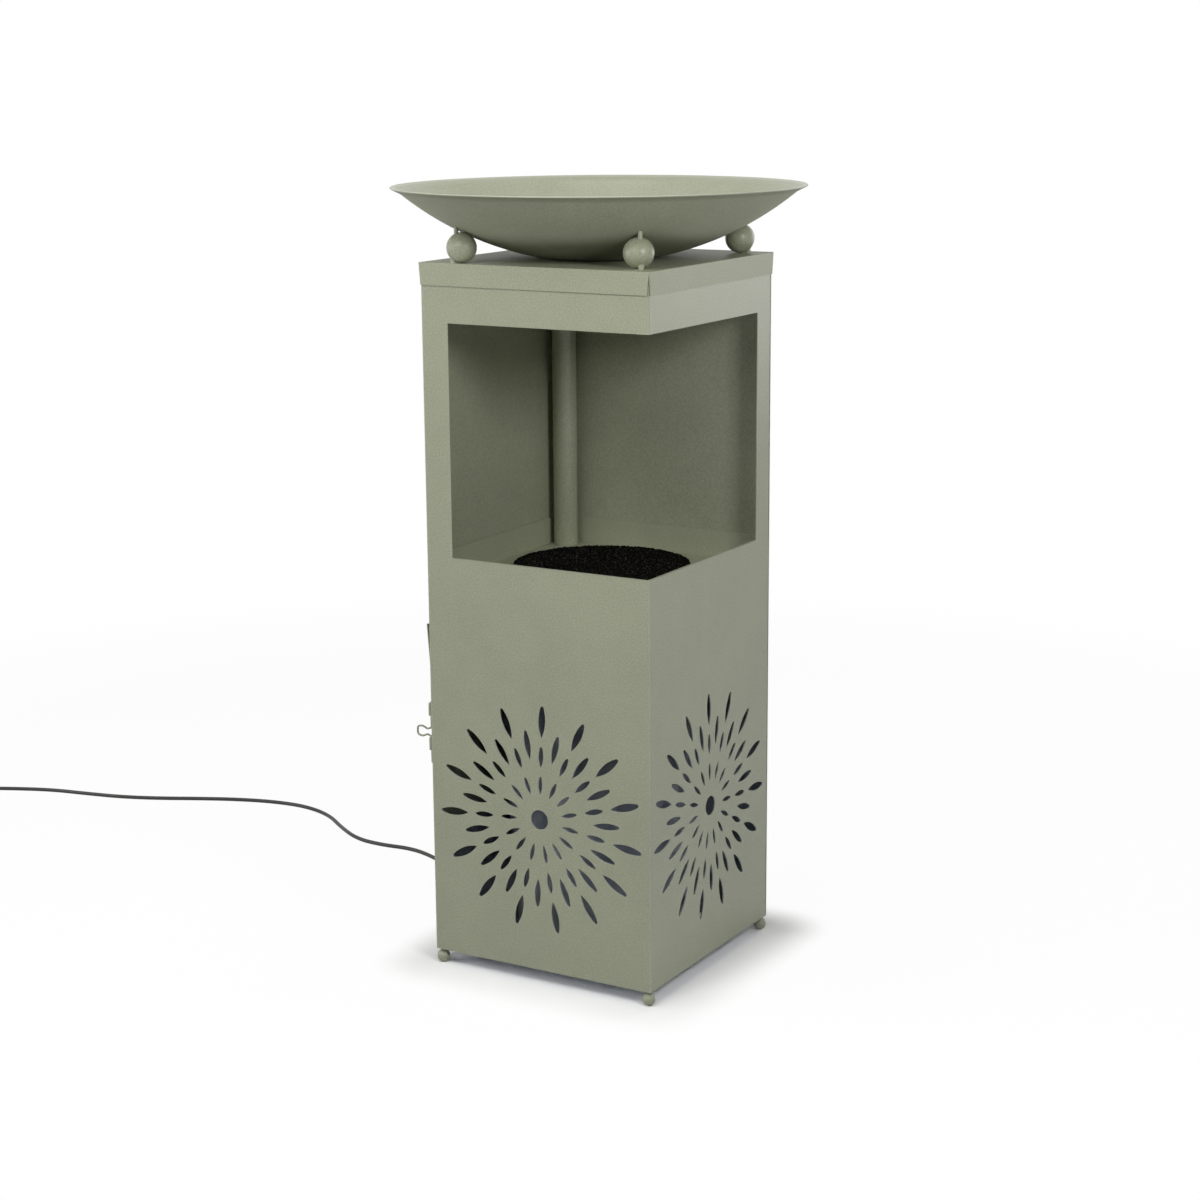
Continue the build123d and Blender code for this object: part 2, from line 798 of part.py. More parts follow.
# ------------------------------------------------------------------ tub and pump
def make_tub():
    """A tapered tub with a rolled rim."""
    top = base_top + tub_height
    rim_low = top - tub_rim_height
    slope = (tub_top_r - tub_base_r) / tub_height
    rim_r = tub_base_r + slope * (rim_low - base_top)
    outline = Polyline(
        (0, base_top), (tub_base_r, base_top), (rim_r, rim_low), (tub_top_r + tub_rim, rim_low),
        (tub_top_r + tub_rim, top), (tub_top_r - tub_wall, top),
        (tub_base_r - tub_wall, base_top + tub_wall), (0, base_top + tub_wall), close=True)
    section = rounded(make_face(outline), [(tub_base_r, base_top)], tub_base_edge_r)
    section = rounded(section, [(tub_top_r + tub_rim, top)], tub_rim_edge_r)
    return revolve(Plane.XZ * section, Axis.Z)


def make_pump_body():
    """A moulded block with the impeller chamber at its back and the outlet on top."""
    body = Pos(pump_x, pump_y, pump_bottom) * Box(pump_width, pump_depth, pump_height, align=LOW)
    body = fillet(body.edges().filter_by(Axis.Z), pump_edge_r)
    back = Vector(pump_x, pump_back, rotor_z)
    inward = Vector(0, -1, 0)
    rotor_end = chamber_depth + rotor_length + 2 * impeller_float
    body += rod(barb_d, pump_top, pump_top + pump_spigot_length, pump_x, outlet_y)
    body -= rod_along(back, inward, chamber_d, chamber_depth)
    body -= rod_along(back, inward, rotor_d + 2 * rotor_gap, rotor_end)
    body -= rod_along(back, inward, shaft_d + 2 * fit_gap, rotor_end + shaft_hold)
    return body - rod(spigot_bore, rotor_z, pump_top + pump_spigot_length + over, pump_x, outlet_y)


def make_pump_feet():
    """Suction cups between the pump and the tub's floor."""
    feet = []
    low = base_top + tub_wall
    for x, y in CORNERS:
        place = (pump_x + x * (pump_width / 2 - pump_foot_inset),
                 pump_y + y * (pump_depth / 2 - pump_foot_inset))
        outline = Polyline((0, low), (pump_foot_d / 2, low), (pump_foot_d / 4, pump_bottom),
                           (0, pump_bottom), close=True)
        feet.append(Pos(*place) * revolve(Plane.XZ * make_face(outline), Axis.Z))
    return feet


def make_intake_cover():
    """A slotted cap over the impeller chamber, which holds the shaft's free end."""
    z_span = (pump_bottom + cover_low, pump_top - cover_high)
    x_span = (pump_x - cover_width / 2, pump_x + cover_width / 2)
    cover = block(x_span, (pump_back, pump_back + cover_depth), z_span)
    cover -= block((x_span[0] + cover_wall, x_span[1] - cover_wall),
                   (pump_back - over, pump_back + cover_depth - cover_wall),
                   (z_span[0] + cover_wall, z_span[1] - cover_wall))
    boss_start = Vector(pump_x, pump_back + cover_depth - cover_wall, rotor_z)
    cover += rod_along(boss_start, (0, -1, 0), cover_boss_d, shaft_hold)
    cover -= rod_along(boss_start, (0, -1, 0), shaft_d + 2 * fit_gap, shaft_hold)
    pitch = (cover_width - 2 * cover_wall) / (intake_slots + 1)
    for index in range(intake_slots):
        x = x_span[0] + cover_wall + pitch * (index + 1)
        if abs(x - pump_x) < (cover_boss_d + intake_slot_w) / 2:
            continue
        cover -= block((x - intake_slot_w / 2, x + intake_slot_w / 2),
                       (pump_back, pump_back + cover_depth + over),
                       (rotor_z - intake_slot_h / 2, rotor_z + intake_slot_h / 2))
    return cover


def make_impeller():
    """A magnet rotor with blades, turning on a fixed shaft."""
    start = Vector(pump_x, pump_back - impeller_float, rotor_z)
    inward = Vector(0, -1, 0)
    wheel_depth = chamber_depth - impeller_float
    impeller = rod_along(start, inward, rotor_d, wheel_depth + rotor_length)
    blade_reach = chamber_d / 2 - blade_gap
    blade_depth = wheel_depth - blade_set_back
    blade = Pos(blade_reach / 2, 0, 0) * Box(blade_reach, blade_t, blade_depth, align=LOW)
    plane = Plane(origin=start, z_dir=inward)
    for index in range(blade_count):
        impeller += plane * (Rot(0, 0, 360.0 * index / blade_count) * blade)
    bore = shaft_d + 2 * running_gap
    return impeller - rod_along(start, inward, bore, wheel_depth + rotor_length)


def make_impeller_shaft():
    """A pin from the block's blind hole to the cover's boss."""
    end = pump_back - chamber_depth - rotor_length - 2 * impeller_float - shaft_hold
    length = pump_back + cover_depth - cover_wall - end - shaft_hold / 2
    return rod_along(Vector(pump_x, end, rotor_z), (0, 1, 0), shaft_d, length)


def make_pump_lead():
    return swept(lead_route, lead_d)


# ------------------------------------------------------------------ hatch
def make_hatch_door():
    """A flat door over the opening, whose top front corner is bent a little outwards."""
    door = block((door_outer, door_inner), (door_front, door_back), (door_low, door_high))
    fold_low = (door_inner, door_front, door_high - corner_fold_down)
    fold_high = (door_inner, door_front + corner_fold_along, door_high)
    corner = make_face(Polyline(fold_low, fold_high, (door_inner, door_front, door_high), close=True))
    dog_ear = extrude(corner, amount=sheet_t, dir=(-1, 0, 0))
    door -= dog_ear
    fold_line = Axis(fold_low, Vector(*fold_high) - Vector(*fold_low))
    door += dog_ear.rotate(fold_line, -corner_fold_angle)
    return door - rivet_holes(door_rivet_y)


def knuckles(level, pick):
    """The hinge barrel's segments with the given numbers, bored for the pin."""
    segment = hinge_height / 3
    low = level - hinge_height / 2
    barrels = []
    for index in pick:
        z_low = low + index * segment + knuckle_gap / 2
        z_high = low + (index + 1) * segment - knuckle_gap / 2
        barrels.append(rod(hinge_knuckle_d, z_low, z_high, hinge_x, hinge_y))
    return barrels


def hinge_bore(level):
    gap = running_gap
    return rod(hinge_pin_d + 2 * gap, level - hinge_height, level + hinge_height, hinge_x, hinge_y)


def other_segments(level, pick):
    """Room round the segments that belong to the other leaf."""
    segment = hinge_height / 3
    low = level - hinge_height / 2
    reach = hinge_knuckle_d / 2 + knuckle_gap
    return [block((hinge_x - reach, half), (hinge_y - reach, hinge_y + reach),
                  (low + index * segment - knuckle_gap / 2, low + (index + 1) * segment + knuckle_gap / 2))
            for index in pick]


def make_fixed_leaves():
    """The leaves on the column's left face, with the outer knuckles."""
    leaves = []
    for level in hinge_levels:
        z_span = (level - hinge_height / 2 + knuckle_gap / 2, level + hinge_height / 2 - knuckle_gap / 2)
        leaf = block((-half - leaf_t, -half), (hinge_y, hinge_y + leaf_width - fixed_leaf_trim), z_span)
        for barrel in knuckles(level, (0, 2)):
            leaf += barrel
        leaf -= other_segments(level, (1,))
        leaf -= hinge_bore(level)
        leaves.append(leaf - rivet_holes(fixed_rivet_y))
    return leaves


def make_door_leaves():
    """The leaves on the door, with the middle knuckles."""
    leaves = []
    for level in hinge_levels:
        z_span = (level - hinge_height / 2 + knuckle_gap / 2, level + hinge_height / 2 - knuckle_gap / 2)
        leaf = block((door_outer - leaf_t, door_outer), (hinge_y - leaf_width, hinge_y), z_span)
        leaf -= other_segments(level, (0, 2))
        for barrel in knuckles(level, (1,)):
            leaf += barrel
        leaf -= hinge_bore(level)
        leaves.append(leaf - rivet_holes(door_rivet_y))
    return leaves


def make_hinge_pins():
    return [rod(hinge_pin_d, level - hinge_height / 2, level + hinge_height / 2, hinge_x, hinge_y)
            for level in hinge_levels]


def make_rivets(y, outer_x, inner_x):
    """Blind rivets through a leaf and a sheet, with a low head outside and a tail inside."""
    rivets = []
    for place_y, z in rivet_places(y):
        shank = rod_along((outer_x, place_y, z), (1, 0, 0), rivet_d, inner_x - outer_x)
        head = rod_along((outer_x, place_y, z), (-1, 0, 0), rivet_head_d, rivet_head_t)
        rim = head.edges().filter_by(GeomType.CIRCLE).sort_by(Axis.X)[0]
        head = fillet(rim, rivet_head_edge_r)
        tail = rod_along((inner_x, place_y, z), (1, 0, 0), rivet_tail_d, rivet_tail_t)
        rivets.append(shank + head + tail)
    return rivets


def make_pull_plate():
    low = pull_z + pull_plate_low
    y_low = door_front + pull_plate_inset
    return block((pull_plate_outer, door_outer), (y_low, y_low + pull_plate_width),
                 (low, low + pull_plate_height))


def make_pull_tubes():
    bore = wire_d + 2 * running_gap
    return [tube(pull_tube_d, bore, pull_z + low, pull_z + low + pull_tube_length, pull_x, pull_y)
            for low in (pull_tube_low, pull_tube_high)]


def make_wire_pull():
    """A wire through both tubes, with an omega loop between them."""
    loop = [(0.0, loop_half), (loop_neck_reach, loop_neck), (loop_shoulder_reach, loop_shoulder),
            (loop_reach, loop_half)]
    lower = [(out, -up) for out, up in reversed(loop)]
    points = [(0.0, wire_above), *loop, *lower, (0.0, -wire_below)]
    radii = [*loop_radii, *reversed(loop_radii)]
    line = FilletPolyline(*[(pull_x - out, pull_y, pull_z + up) for out, up in points], radius=radii)
    plane = Plane(origin=line @ 0, z_dir=line % 0)
    return sweep(plane * Circle(wire_d / 2), path=line)


def make_magnet():
    """A block magnet at the opening's edge, on an angle bracket behind the column's face."""
    wall = -half + sheet_t
    z_span = (pull_z - magnet_height / 2, pull_z + magnet_height / 2)
    face = door_inner + magnet_gap
    foot = block((wall, wall + bracket_t), (opening_front - magnet_leg, opening_front), z_span)
    arm = block((wall, face + magnet_depth + bracket_t), (opening_front - bracket_t, opening_front), z_span)
    magnet = block((face, face + magnet_depth), (opening_front, opening_front + magnet_width), z_span)
    return foot + arm, magnet


# ------------------------------------------------------------------ cord and plug
def make_grommet():
    """A moulded grommet in the left face with a tapered nose round the cord."""
    wall = sheet_t
    nose = grommet_flange_t + grommet_nose_length
    outline = Polyline(
        (0, -wall - grommet_inner_t), (grommet_inner_d / 2, -wall - grommet_inner_t),
        (grommet_inner_d / 2, -wall), (grommet_neck_d / 2, -wall), (grommet_neck_d / 2, 0),
        (grommet_flange_d / 2, 0), (grommet_flange_d / 2, grommet_flange_t),
        (grommet_neck_d / 2, grommet_flange_t), (grommet_nose_d / 2, nose), (0, nose), close=True)
    grommet = revolve(Plane.XZ * make_face(outline), Axis.Z)
    grommet -= Cylinder(cord_r + fit_gap, 4 * nose)
    return Plane(origin=(-half, grommet_y, grommet_z), z_dir=(-1, 0, 0)) * grommet


coil_start = Vector(*cord_route[-1])
coil_heading = (coil_start - Vector(*cord_route[-2])).normalized()
coil_outer_turn = coil_turn_d / 2 + cord_r
coil_centre = coil_start + Vector(-coil_heading.Y, coil_heading.X) * coil_outer_turn


def make_power_cord():
    return swept(cord_route, cord_d)


def make_cord_coil():
    """The outer shape of the wound coil, two turns wide and two high."""
    width = coil_band * cord_d
    return tube(coil_turn_d + width, coil_turn_d - width, 0, width, coil_centre.X, coil_centre.Y)


def make_plug():
    """A flat two-pin plug that lies on the floor beside the coil, and its tapered relief."""
    angle = radians(plug_leave_angle)
    heading = Vector(-sin(angle), cos(angle))
    start = coil_centre + Vector(cos(angle), sin(angle)) * coil_outer_turn
    start = Vector(start.X, start.Y, plug_t / 2)
    plane = Plane(origin=start, x_dir=(0, 0, 1), z_dir=heading)
    gap = coil_band * cord_d
    relief = plane * (Pos(0, 0, gap) * Cone(relief_tip_d / 2, relief_d / 2, relief_length, align=LOW))
    body_start = gap + relief_length
    outline = Polyline(
        (-plug_nose_width / 2, 0), (plug_nose_width / 2, 0), (plug_width / 2, plug_shoulder),
        (plug_width / 2, plug_length), (-plug_width / 2, plug_length),
        (-plug_width / 2, plug_shoulder), close=True)
    flat = Plane(origin=start + heading * body_start - Vector(0, 0, plug_t / 2),
                 x_dir=(heading.Y, -heading.X, 0), z_dir=(0, 0, 1))
    body = extrude(flat * make_face(outline), plug_t)
    body = fillet(body.edges(), plug_edge_r)
    pins = []
    for side in (-1, 1):
        foot = start + heading * (body_start + plug_length)
        foot += Vector(heading.Y, -heading.X) * side * plug_pin_pitch / 2
        pin = rod_along(foot, heading, plug_pin_d, plug_pin_length)
        end = pin.edges().filter_by(GeomType.CIRCLE).sort_by_distance(foot)[-1]
        pins.append(fillet(end, plug_pin_end_r))
    return relief, body, pins


# ------------------------------------------------------------------ export
feet, foot_posts = make_feet()
spacers, spacer_posts = make_spacers()
feed_nut = Pos(0, 0, bowl_floor) * hex_nut(feed_nut_af, feed_nut_t, neck_d + 2 * fit_gap)
overflow_nut = Pos(overflow_offset, -overflow_offset, shell_top - overflow_nut_t) * hex_nut(
    overflow_nut_af, overflow_nut_t, overflow_d + 2 * fit_gap)
magnet_holder, door_magnet = make_magnet()
plug_relief, plug, plug_pins = make_plug()

nodes = {
    "front_shell": make_front_shell(),
    "rear_shell": make_rear_shell(),
    "base_plate": make_base_plate(),
    "ball_feet": feet,
    "foot_posts": foot_posts,
    "pan_ledges": make_pan_ledges(),
    "splash_pan": make_splash_pan(),
    "foam_disc": rod(foam_d, pan_floor, pan_floor + foam_t),
    "riser_pipe": make_riser_pipe(),
    "riser_bush": make_riser_bush(),
    "riser_hose": make_riser_hose(),
    "lid": make_lid(),
    "bowl": make_bowl(),
    "ball_spacers": spacers,
    "spacer_posts": spacer_posts,
    "bowl_seals": make_bowl_seals(),
    "feed_fitting": make_feed_fitting(),
    "feed_nut": feed_nut,
    "nozzle": make_nozzle(),
    "overflow_pipe": make_overflow_pipe(),
    "overflow_nut": overflow_nut,
    "crossover_elbow": make_crossover_elbow(),
    "crossover_tube": make_crossover_tube(),
    "reservoir_tub": make_tub(),
    "pump_body": make_pump_body(),
    "pump_feet": make_pump_feet(),
    "intake_cover": make_intake_cover(),
    "impeller": make_impeller(),
    "impeller_shaft": make_impeller_shaft(),
    "pump_lead": make_pump_lead(),
    "hatch_door": make_hatch_door(),
    "hinge_fixed_leaves": make_fixed_leaves(),
    "hinge_door_leaves": make_door_leaves(),
    "hinge_pins": make_hinge_pins(),
    "fixed_leaf_rivets": make_rivets(fixed_rivet_y, -half - leaf_t, -half + sheet_t),
    "door_leaf_rivets": make_rivets(door_rivet_y, door_outer - leaf_t, door_inner),
    "pull_plate": make_pull_plate(),
    "pull_tubes": make_pull_tubes(),
    "wire_pull": make_wire_pull(),
    "magnet_holder": magnet_holder,
    "door_magnet": door_magnet,
    "cord_grommet": make_grommet(),
    "power_cord": make_power_cord(),
    "cord_coil": make_cord_coil(),
    "plug_relief": plug_relief,
    "plug": plug,
    "plug_pins": plug_pins,
}

for name, shape in nodes.items():
    solids = shape if isinstance(shape, list) else [shape]
    pieces = [solid for item in solids for solid in item.solids()]
    export_step(Compound(children=pieces) if len(pieces) > 1 else pieces[0], "parts/%s.step" % name)
    print(name, len(pieces))
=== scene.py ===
from math import cos, degrees, pi, radians, sin
from random import Random

import bmesh
import bpy
from mathutils import Matrix, Quaternion, Vector


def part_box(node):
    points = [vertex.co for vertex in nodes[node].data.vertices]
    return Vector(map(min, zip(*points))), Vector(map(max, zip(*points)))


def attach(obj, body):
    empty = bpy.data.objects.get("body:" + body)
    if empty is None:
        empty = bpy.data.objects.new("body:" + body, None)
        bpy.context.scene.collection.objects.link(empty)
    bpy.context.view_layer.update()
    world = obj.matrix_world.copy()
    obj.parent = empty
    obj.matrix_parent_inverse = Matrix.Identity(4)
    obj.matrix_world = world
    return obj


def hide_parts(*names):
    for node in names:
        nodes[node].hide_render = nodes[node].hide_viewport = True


# Column fountain in sage-green powder coat: the foam disc, the mains cord and all finishes, around the
# CAD model. Metres, +Z up; the front looks along -Y and the service hatch is at -X.

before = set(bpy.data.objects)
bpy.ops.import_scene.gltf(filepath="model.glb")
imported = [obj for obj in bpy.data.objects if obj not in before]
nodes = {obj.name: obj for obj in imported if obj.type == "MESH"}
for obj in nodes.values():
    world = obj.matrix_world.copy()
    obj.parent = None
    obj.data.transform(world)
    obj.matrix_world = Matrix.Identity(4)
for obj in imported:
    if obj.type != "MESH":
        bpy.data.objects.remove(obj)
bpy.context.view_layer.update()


# ------------------------------------------------------------------ colours
def srgb(red, green, blue):
    """A colour written as 0-255 screen values, as linear RGBA."""
    def linear(value):
        value /= 255
        return value / 12.92 if value <= 0.04045 else ((value + 0.055) / 1.055) ** 2.4
    return (linear(red), linear(green), linear(blue), 1.0)


SAGE = srgb(163, 167, 143)
SAGE_LIGHT = srgb(186, 188, 170)
SAGE_SHADE = srgb(104, 106, 88)
BARE_ZINC = srgb(202, 208, 217)
DULL_ZINC = srgb(172, 178, 187)
TUB_BLUE = srgb(190, 197, 208)
TUB_SCUFF = srgb(222, 226, 232)
# the tub's painted shade above and its painted light from below
TUB_PAINTED_SHADE = srgb(134, 139, 148)
PAINTED_UNDERLIGHT = srgb(236, 238, 238)
# the foam's near-black colour, partly painted shade in its pits, and the painted glint on its strands
FOAM_BLACK_AND_PIT_SHADE = srgb(4, 4, 3)
FOAM_STRAND_GLINT = srgb(92, 87, 74)
RUBBER_BLACK = srgb(34, 34, 34)
PLASTIC_BLACK = srgb(40, 41, 42)
PLASTIC_WORN = srgb(78, 79, 80)
BRASS = srgb(196, 164, 96)
BRASS_DULL = srgb(132, 104, 58)
STEEL = srgb(200, 200, 198)
STEEL_DULL = srgb(150, 150, 148)
DUST = srgb(176, 172, 158)
FERRITE = srgb(70, 70, 72)
FERRITE_CHIP = srgb(120, 120, 122)
CORD_SCUFF = srgb(70, 70, 70)
RUBBER_SCUFF = srgb(66, 66, 66)

# ------------------------------------------------------------------ sizes of the finishes
# patterns, in features per metre
COAT_GRAIN = 520.0
COAT_CLOUD = 7.0
COAT_PATCH = 42.0
COAT_PEEL = 420.0
WEAR_BREAKS = 160.0
FOLD_BREAKS = 60.0
DUST_PATCH = 22.0
MOULD_CLOUD = 14.0
MOULD_PATCH = 38.0
SCRATCH_STRETCH = (60.0, 900.0, 60.0)
SCRATCH_TURN = (0.3, 0.2, 0.7)
METAL_PATCH = 70.0
METAL_ACROSS = 90.0
ZINC_LINES = 300.0
SPUN_RINGS = 260.0
FILM_PATCH = 30.0
FOAM_CELLS = 520.0
FOAM_STRAYS = 380.0

# sizes, in metres
FRONT_SHELL_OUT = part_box("front_shell")[1].x
LID_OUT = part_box("lid")[1].x
BOWL_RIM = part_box("bowl")[1].z
PAN_UNDERSIDE = 0.475
FOLD_INSET = 0.0011
PAINT_DEPTH = 0.0004
COAT_HEIGHT = 0.00012

ZINC_SHEEN = 0.3


# ------------------------------------------------------------------ node helpers
def link(tree, source, target):
    tree.links.new(source, target)


def node(tree, kind, **settings):
    """A shader node with the given properties."""
    made = tree.nodes.new(kind)
    for name, value in settings.items():
        setattr(made, name, value)
    return made


def math_node(tree, operation, first, second=None, clamp=False):
    """A Math node whose inputs are sockets or numbers."""
    made = node(tree, "ShaderNodeMath", operation=operation, use_clamp=clamp)
    for index, value in enumerate((first, second)):
        if value is None:
            continue
        if isinstance(value, (int, float)):
            made.inputs[index].default_value = value
        else:
            link(tree, value, made.inputs[index])
    return made.outputs[0]


def add(tree, first, second, clamp=False):
    """Two values added."""
    return math_node(tree, "ADD", first, second, clamp)


def subtract(tree, first, second, clamp=False):
    """The second value taken from the first."""
    return math_node(tree, "SUBTRACT", first, second, clamp)


def multiply(tree, first, second, clamp=False):
    """Two values multiplied."""
    return math_node(tree, "MULTIPLY", first, second, clamp)


def ramp(tree, value, low, high, to_low=0.0, to_high=1.0):
    """A value mapped smoothly from one span to another."""
    made = node(tree, "ShaderNodeMapRange", clamp=True, interpolation_type="SMOOTHSTEP")
    link(tree, value, made.inputs["Value"])
    for name, number in zip(("From Min", "From Max", "To Min", "To Max"), (low, high, to_low, to_high)):
        if isinstance(number, (int, float)):
            made.inputs[name].default_value = number
        else:
            link(tree, number, made.inputs[name])
    return made.outputs["Result"]


def mix_colour(tree, factor, first, second, blend="MIX"):
    """Two colours mixed; each is a socket or a colour."""
    made = node(tree, "ShaderNodeMix", data_type="RGBA", blend_type=blend)
    for socket, value in ((made.inputs[0], factor), (made.inputs[6], first), (made.inputs[7], second)):
        if isinstance(value, (int, float, tuple)):
            socket.default_value = value
        else:
            link(tree, value, socket)
    return made.outputs[2]


def noise(tree, vector, scale, detail=2.0, rough=0.5):
    """A noise texture's value at a scale in features per metre."""
    made = node(tree, "ShaderNodeTexNoise")
    made.inputs["Detail"].default_value = detail
    made.inputs["Roughness"].default_value = rough
    if isinstance(scale, (int, float)):
        made.inputs["Scale"].default_value = scale
    else:
        link(tree, scale, made.inputs["Scale"])
    link(tree, vector, made.inputs["Vector"])
    return made.outputs[0]


def centred(tree, value):
    """A value of 0 to 1, moved to lie about 0."""
    return subtract(tree, value, 0.5)


def object_place(tree):
    """The surface point, in the part's own coordinates at rest."""
    return node(tree, "ShaderNodeTexCoord").outputs["Object"]


def split(tree, vector):
    """The X, Y and Z of a vector."""
    axes = node(tree, "ShaderNodeSeparateXYZ")
    link(tree, vector, axes.inputs[0])
    return axes.outputs


def facing(tree):
    """The X, Y and Z of the way that the surface looks."""
    return split(tree, node(tree, "ShaderNodeNewGeometry").outputs["Normal"])


def make_group(name, inputs, outputs):
    """An empty shader group with named sockets, and its two end nodes."""
    group = bpy.data.node_groups.new(name, "ShaderNodeTree")
    kinds = {"colour": "NodeSocketColor", "value": "NodeSocketFloat", "vector": "NodeSocketVector"}
    for label, kind, value in inputs:
        socket = group.interface.new_socket(name=label, in_out="INPUT", socket_type=kinds[kind])
        socket.default_value = value
    for label, kind in outputs:
        group.interface.new_socket(name=label, in_out="OUTPUT", socket_type=kinds[kind])
    return group, node(group, "NodeGroupInput").outputs, node(group, "NodeGroupOutput").inputs


def use_group(tree, group, **values):
    """A group placed in a material, with its inputs set to sockets, colours or numbers."""
    made = node(tree, "ShaderNodeGroup", node_tree=group)
    for label, value in values.items():
        socket = made.inputs[label.replace("_", " ")]
        if isinstance(value, (int, float, tuple)):
            socket.default_value = value
        else:
            link(tree, value, socket)
    return made.outputs


# ------------------------------------------------------------------ shared effects
def make_sprayed_coat():
    """Powder coat: fine speckle, slow clouds of tone, and an orange-peel skin."""
    group, given, out = make_group(
        "sprayed_coat",
        [("Coat", "colour", SAGE), ("Grain Scale", "value", COAT_GRAIN), ("Speckle", "value", 0.26),
         ("Cloud", "value", 0.05), ("Roughness", "value", 0.45)],
        [("Colour", "colour"), ("Roughness", "value"), ("Height", "value")])
    place = object_place(group)
    speckle = noise(group, place, given["Grain Scale"], 3.0, 0.7)
    cloud = noise(group, place, COAT_CLOUD, 3.0, 0.55)
    patch = noise(group, place, COAT_PATCH, 2.0, 0.5)
    tone = multiply(group, centred(group, speckle), given["Speckle"])
    slow = add(group, centred(group, cloud), multiply(group, centred(group, patch), 0.5))
    slow = multiply(group, slow, given["Cloud"])
    level = add(group, add(group, multiply(group, tone, 4.0), multiply(group, slow, 4.0)), 1.0)
    grey = node(group, "ShaderNodeCombineColor")
    for index in range(3):
        link(group, level, grey.inputs[index])
    link(group, mix_colour(group, 1.0, given["Coat"], grey.outputs[0], "MULTIPLY"), out["Colour"])
    rough = add(group, given["Roughness"], multiply(group, slow, 1.2))
    rough = add(group, rough, multiply(group, tone, 0.8), clamp=True)
    link(group, rough, out["Roughness"])
    peel = noise(group, place, COAT_PEEL, 2.0, 0.5)
    link(group, add(group, multiply(group, peel, 0.6), multiply(group, speckle, 0.4)), out["Height"])
    return group


def make_edge_wear():
    """Edges and bends rubbed lighter, broken up by noise."""
    group, given, out = make_group(
        "edge_wear",
        [("Colour", "colour", SAGE), ("Worn", "colour", SAGE_LIGHT), ("Radius", "value", 0.0008),
         ("Amount", "value", 0.5)],
        [("Colour", "colour"), ("Mask", "value")])
    bevel = node(group, "ShaderNodeBevel", samples=4)
    link(group, given["Radius"], bevel.inputs["Radius"])
    dot = node(group, "ShaderNodeVectorMath", operation="DOT_PRODUCT")
    link(group, bevel.outputs[0], dot.inputs[0])
    link(group, node(group, "ShaderNodeNewGeometry").outputs["Normal"], dot.inputs[1])
    broken = ramp(group, noise(group, object_place(group), WEAR_BREAKS, 4.0, 0.65), 0.35, 0.6)
    edge = ramp(group, subtract(group, 1.0, dot.outputs["Value"]), 0.02, 0.22)
    mask = multiply(group, multiply(group, edge, broken), given["Amount"], clamp=True)
    link(group, mask, out["Mask"])
    link(group, mix_colour(group, mask, given["Colour"], given["Worn"]), out["Colour"])
    return group


def make_settled_dust():
    """A thin film of dust where a surface looks up."""
    group, given, out = make_group(
        "settled_dust",
        [("Colour", "colour", SAGE), ("Dust", "colour", DUST), ("Amount", "value", 0.3)],
        [("Colour", "colour"), ("Mask", "value")])
    up = ramp(group, facing(group)["Z"], 0.35, 0.95)
    patches = ramp(group, noise(group, object_place(group), DUST_PATCH, 5.0, 0.6), 0.3, 0.75)
    mask = multiply(group, multiply(group, up, patches), given["Amount"], clamp=True)
    link(group, mask, out["Mask"])
    link(group, mix_colour(group, mask, given["Colour"], given["Dust"]), out["Colour"])
    return group


def make_moulded_skin():
    """Moulded plastic or rubber: a fine grain, flow clouds and a few scuffs."""
    group, given, out = make_group(
        "moulded_skin",
        [("Base", "colour", PLASTIC_BLACK), ("Scuff", "colour", PLASTIC_WORN),
         ("Grain Scale", "value", 1400.0), ("Scuffs", "value", 0.25), ("Roughness", "value", 0.5)],
        [("Colour", "colour"), ("Roughness", "value"), ("Height", "value")])
    place = object_place(group)
    grain = noise(group, place, given["Grain Scale"], 3.0, 0.6)
    cloud = noise(group, place, MOULD_CLOUD, 3.0, 0.5)
    stretch = node(group, "ShaderNodeMapping")
    stretch.inputs["Scale"].default_value = SCRATCH_STRETCH
    stretch.inputs["Rotation"].default_value = SCRATCH_TURN
    link(group, place, stretch.inputs["Vector"])
    scratch = ramp(group, noise(group, stretch.outputs[0], 1.0, 3.0, 0.6), 0.62, 0.74)
    patch = ramp(group, noise(group, place, MOULD_PATCH, 3.0, 0.6), 0.48, 0.68)
    mask = multiply(group, multiply(group, scratch, patch), given["Scuffs"])
    tone = multiply(group, centred(group, cloud), 0.5)
    mask = add(group, mask, multiply(group, tone, 0.3), clamp=True)
    link(group, mix_colour(group, mask, given["Base"], given["Scuff"]), out["Colour"])
    rough = add(group, given["Roughness"], multiply(group, tone, 0.4))
    rough = add(group, rough, multiply(group, mask, 0.2), clamp=True)
    link(group, rough, out["Roughness"])
    link(group, grain, out["Height"])
    return group


def make_metal_skin():
    """Plated or turned metal: fine tool lines, dull patches and fingermarks."""
    group, given, out = make_group(
        "metal_skin",
        [("Bright", "colour", STEEL), ("Dull", "colour", STEEL_DULL), ("Line Scale", "value", 2600.0),
         ("Roughness", "value", 0.3)],
        [("Colour", "colour"), ("Roughness", "value"), ("Height", "value")])
    place = object_place(group)
    axes = split(group, place)
    squash = node(group, "ShaderNodeCombineXYZ")
    for name, scale in (("X", METAL_ACROSS), ("Y", METAL_ACROSS), ("Z", given["Line Scale"])):
        link(group, multiply(group, axes[name], scale), squash.inputs[name])
    lines = noise(group, squash.outputs[0], 1.0, 2.0, 0.5)
    patch = ramp(group, noise(group, place, METAL_PATCH, 4.0, 0.6), 0.35, 0.7)
    link(group, mix_colour(group, patch, given["Bright"], given["Dull"]), out["Colour"])
    rough = add(group, given["Roughness"], multiply(group, patch, 0.18))
    rough = add(group, rough, multiply(group, centred(group, lines), 0.2), clamp=True)
    link(group, rough, out["Roughness"])
    link(group, lines, out["Height"])
    return group


sprayed_coat = make_sprayed_coat()
edge_wear = make_edge_wear()
settled_dust = make_settled_dust()
moulded_skin = make_moulded_skin()
metal_skin = make_metal_skin()


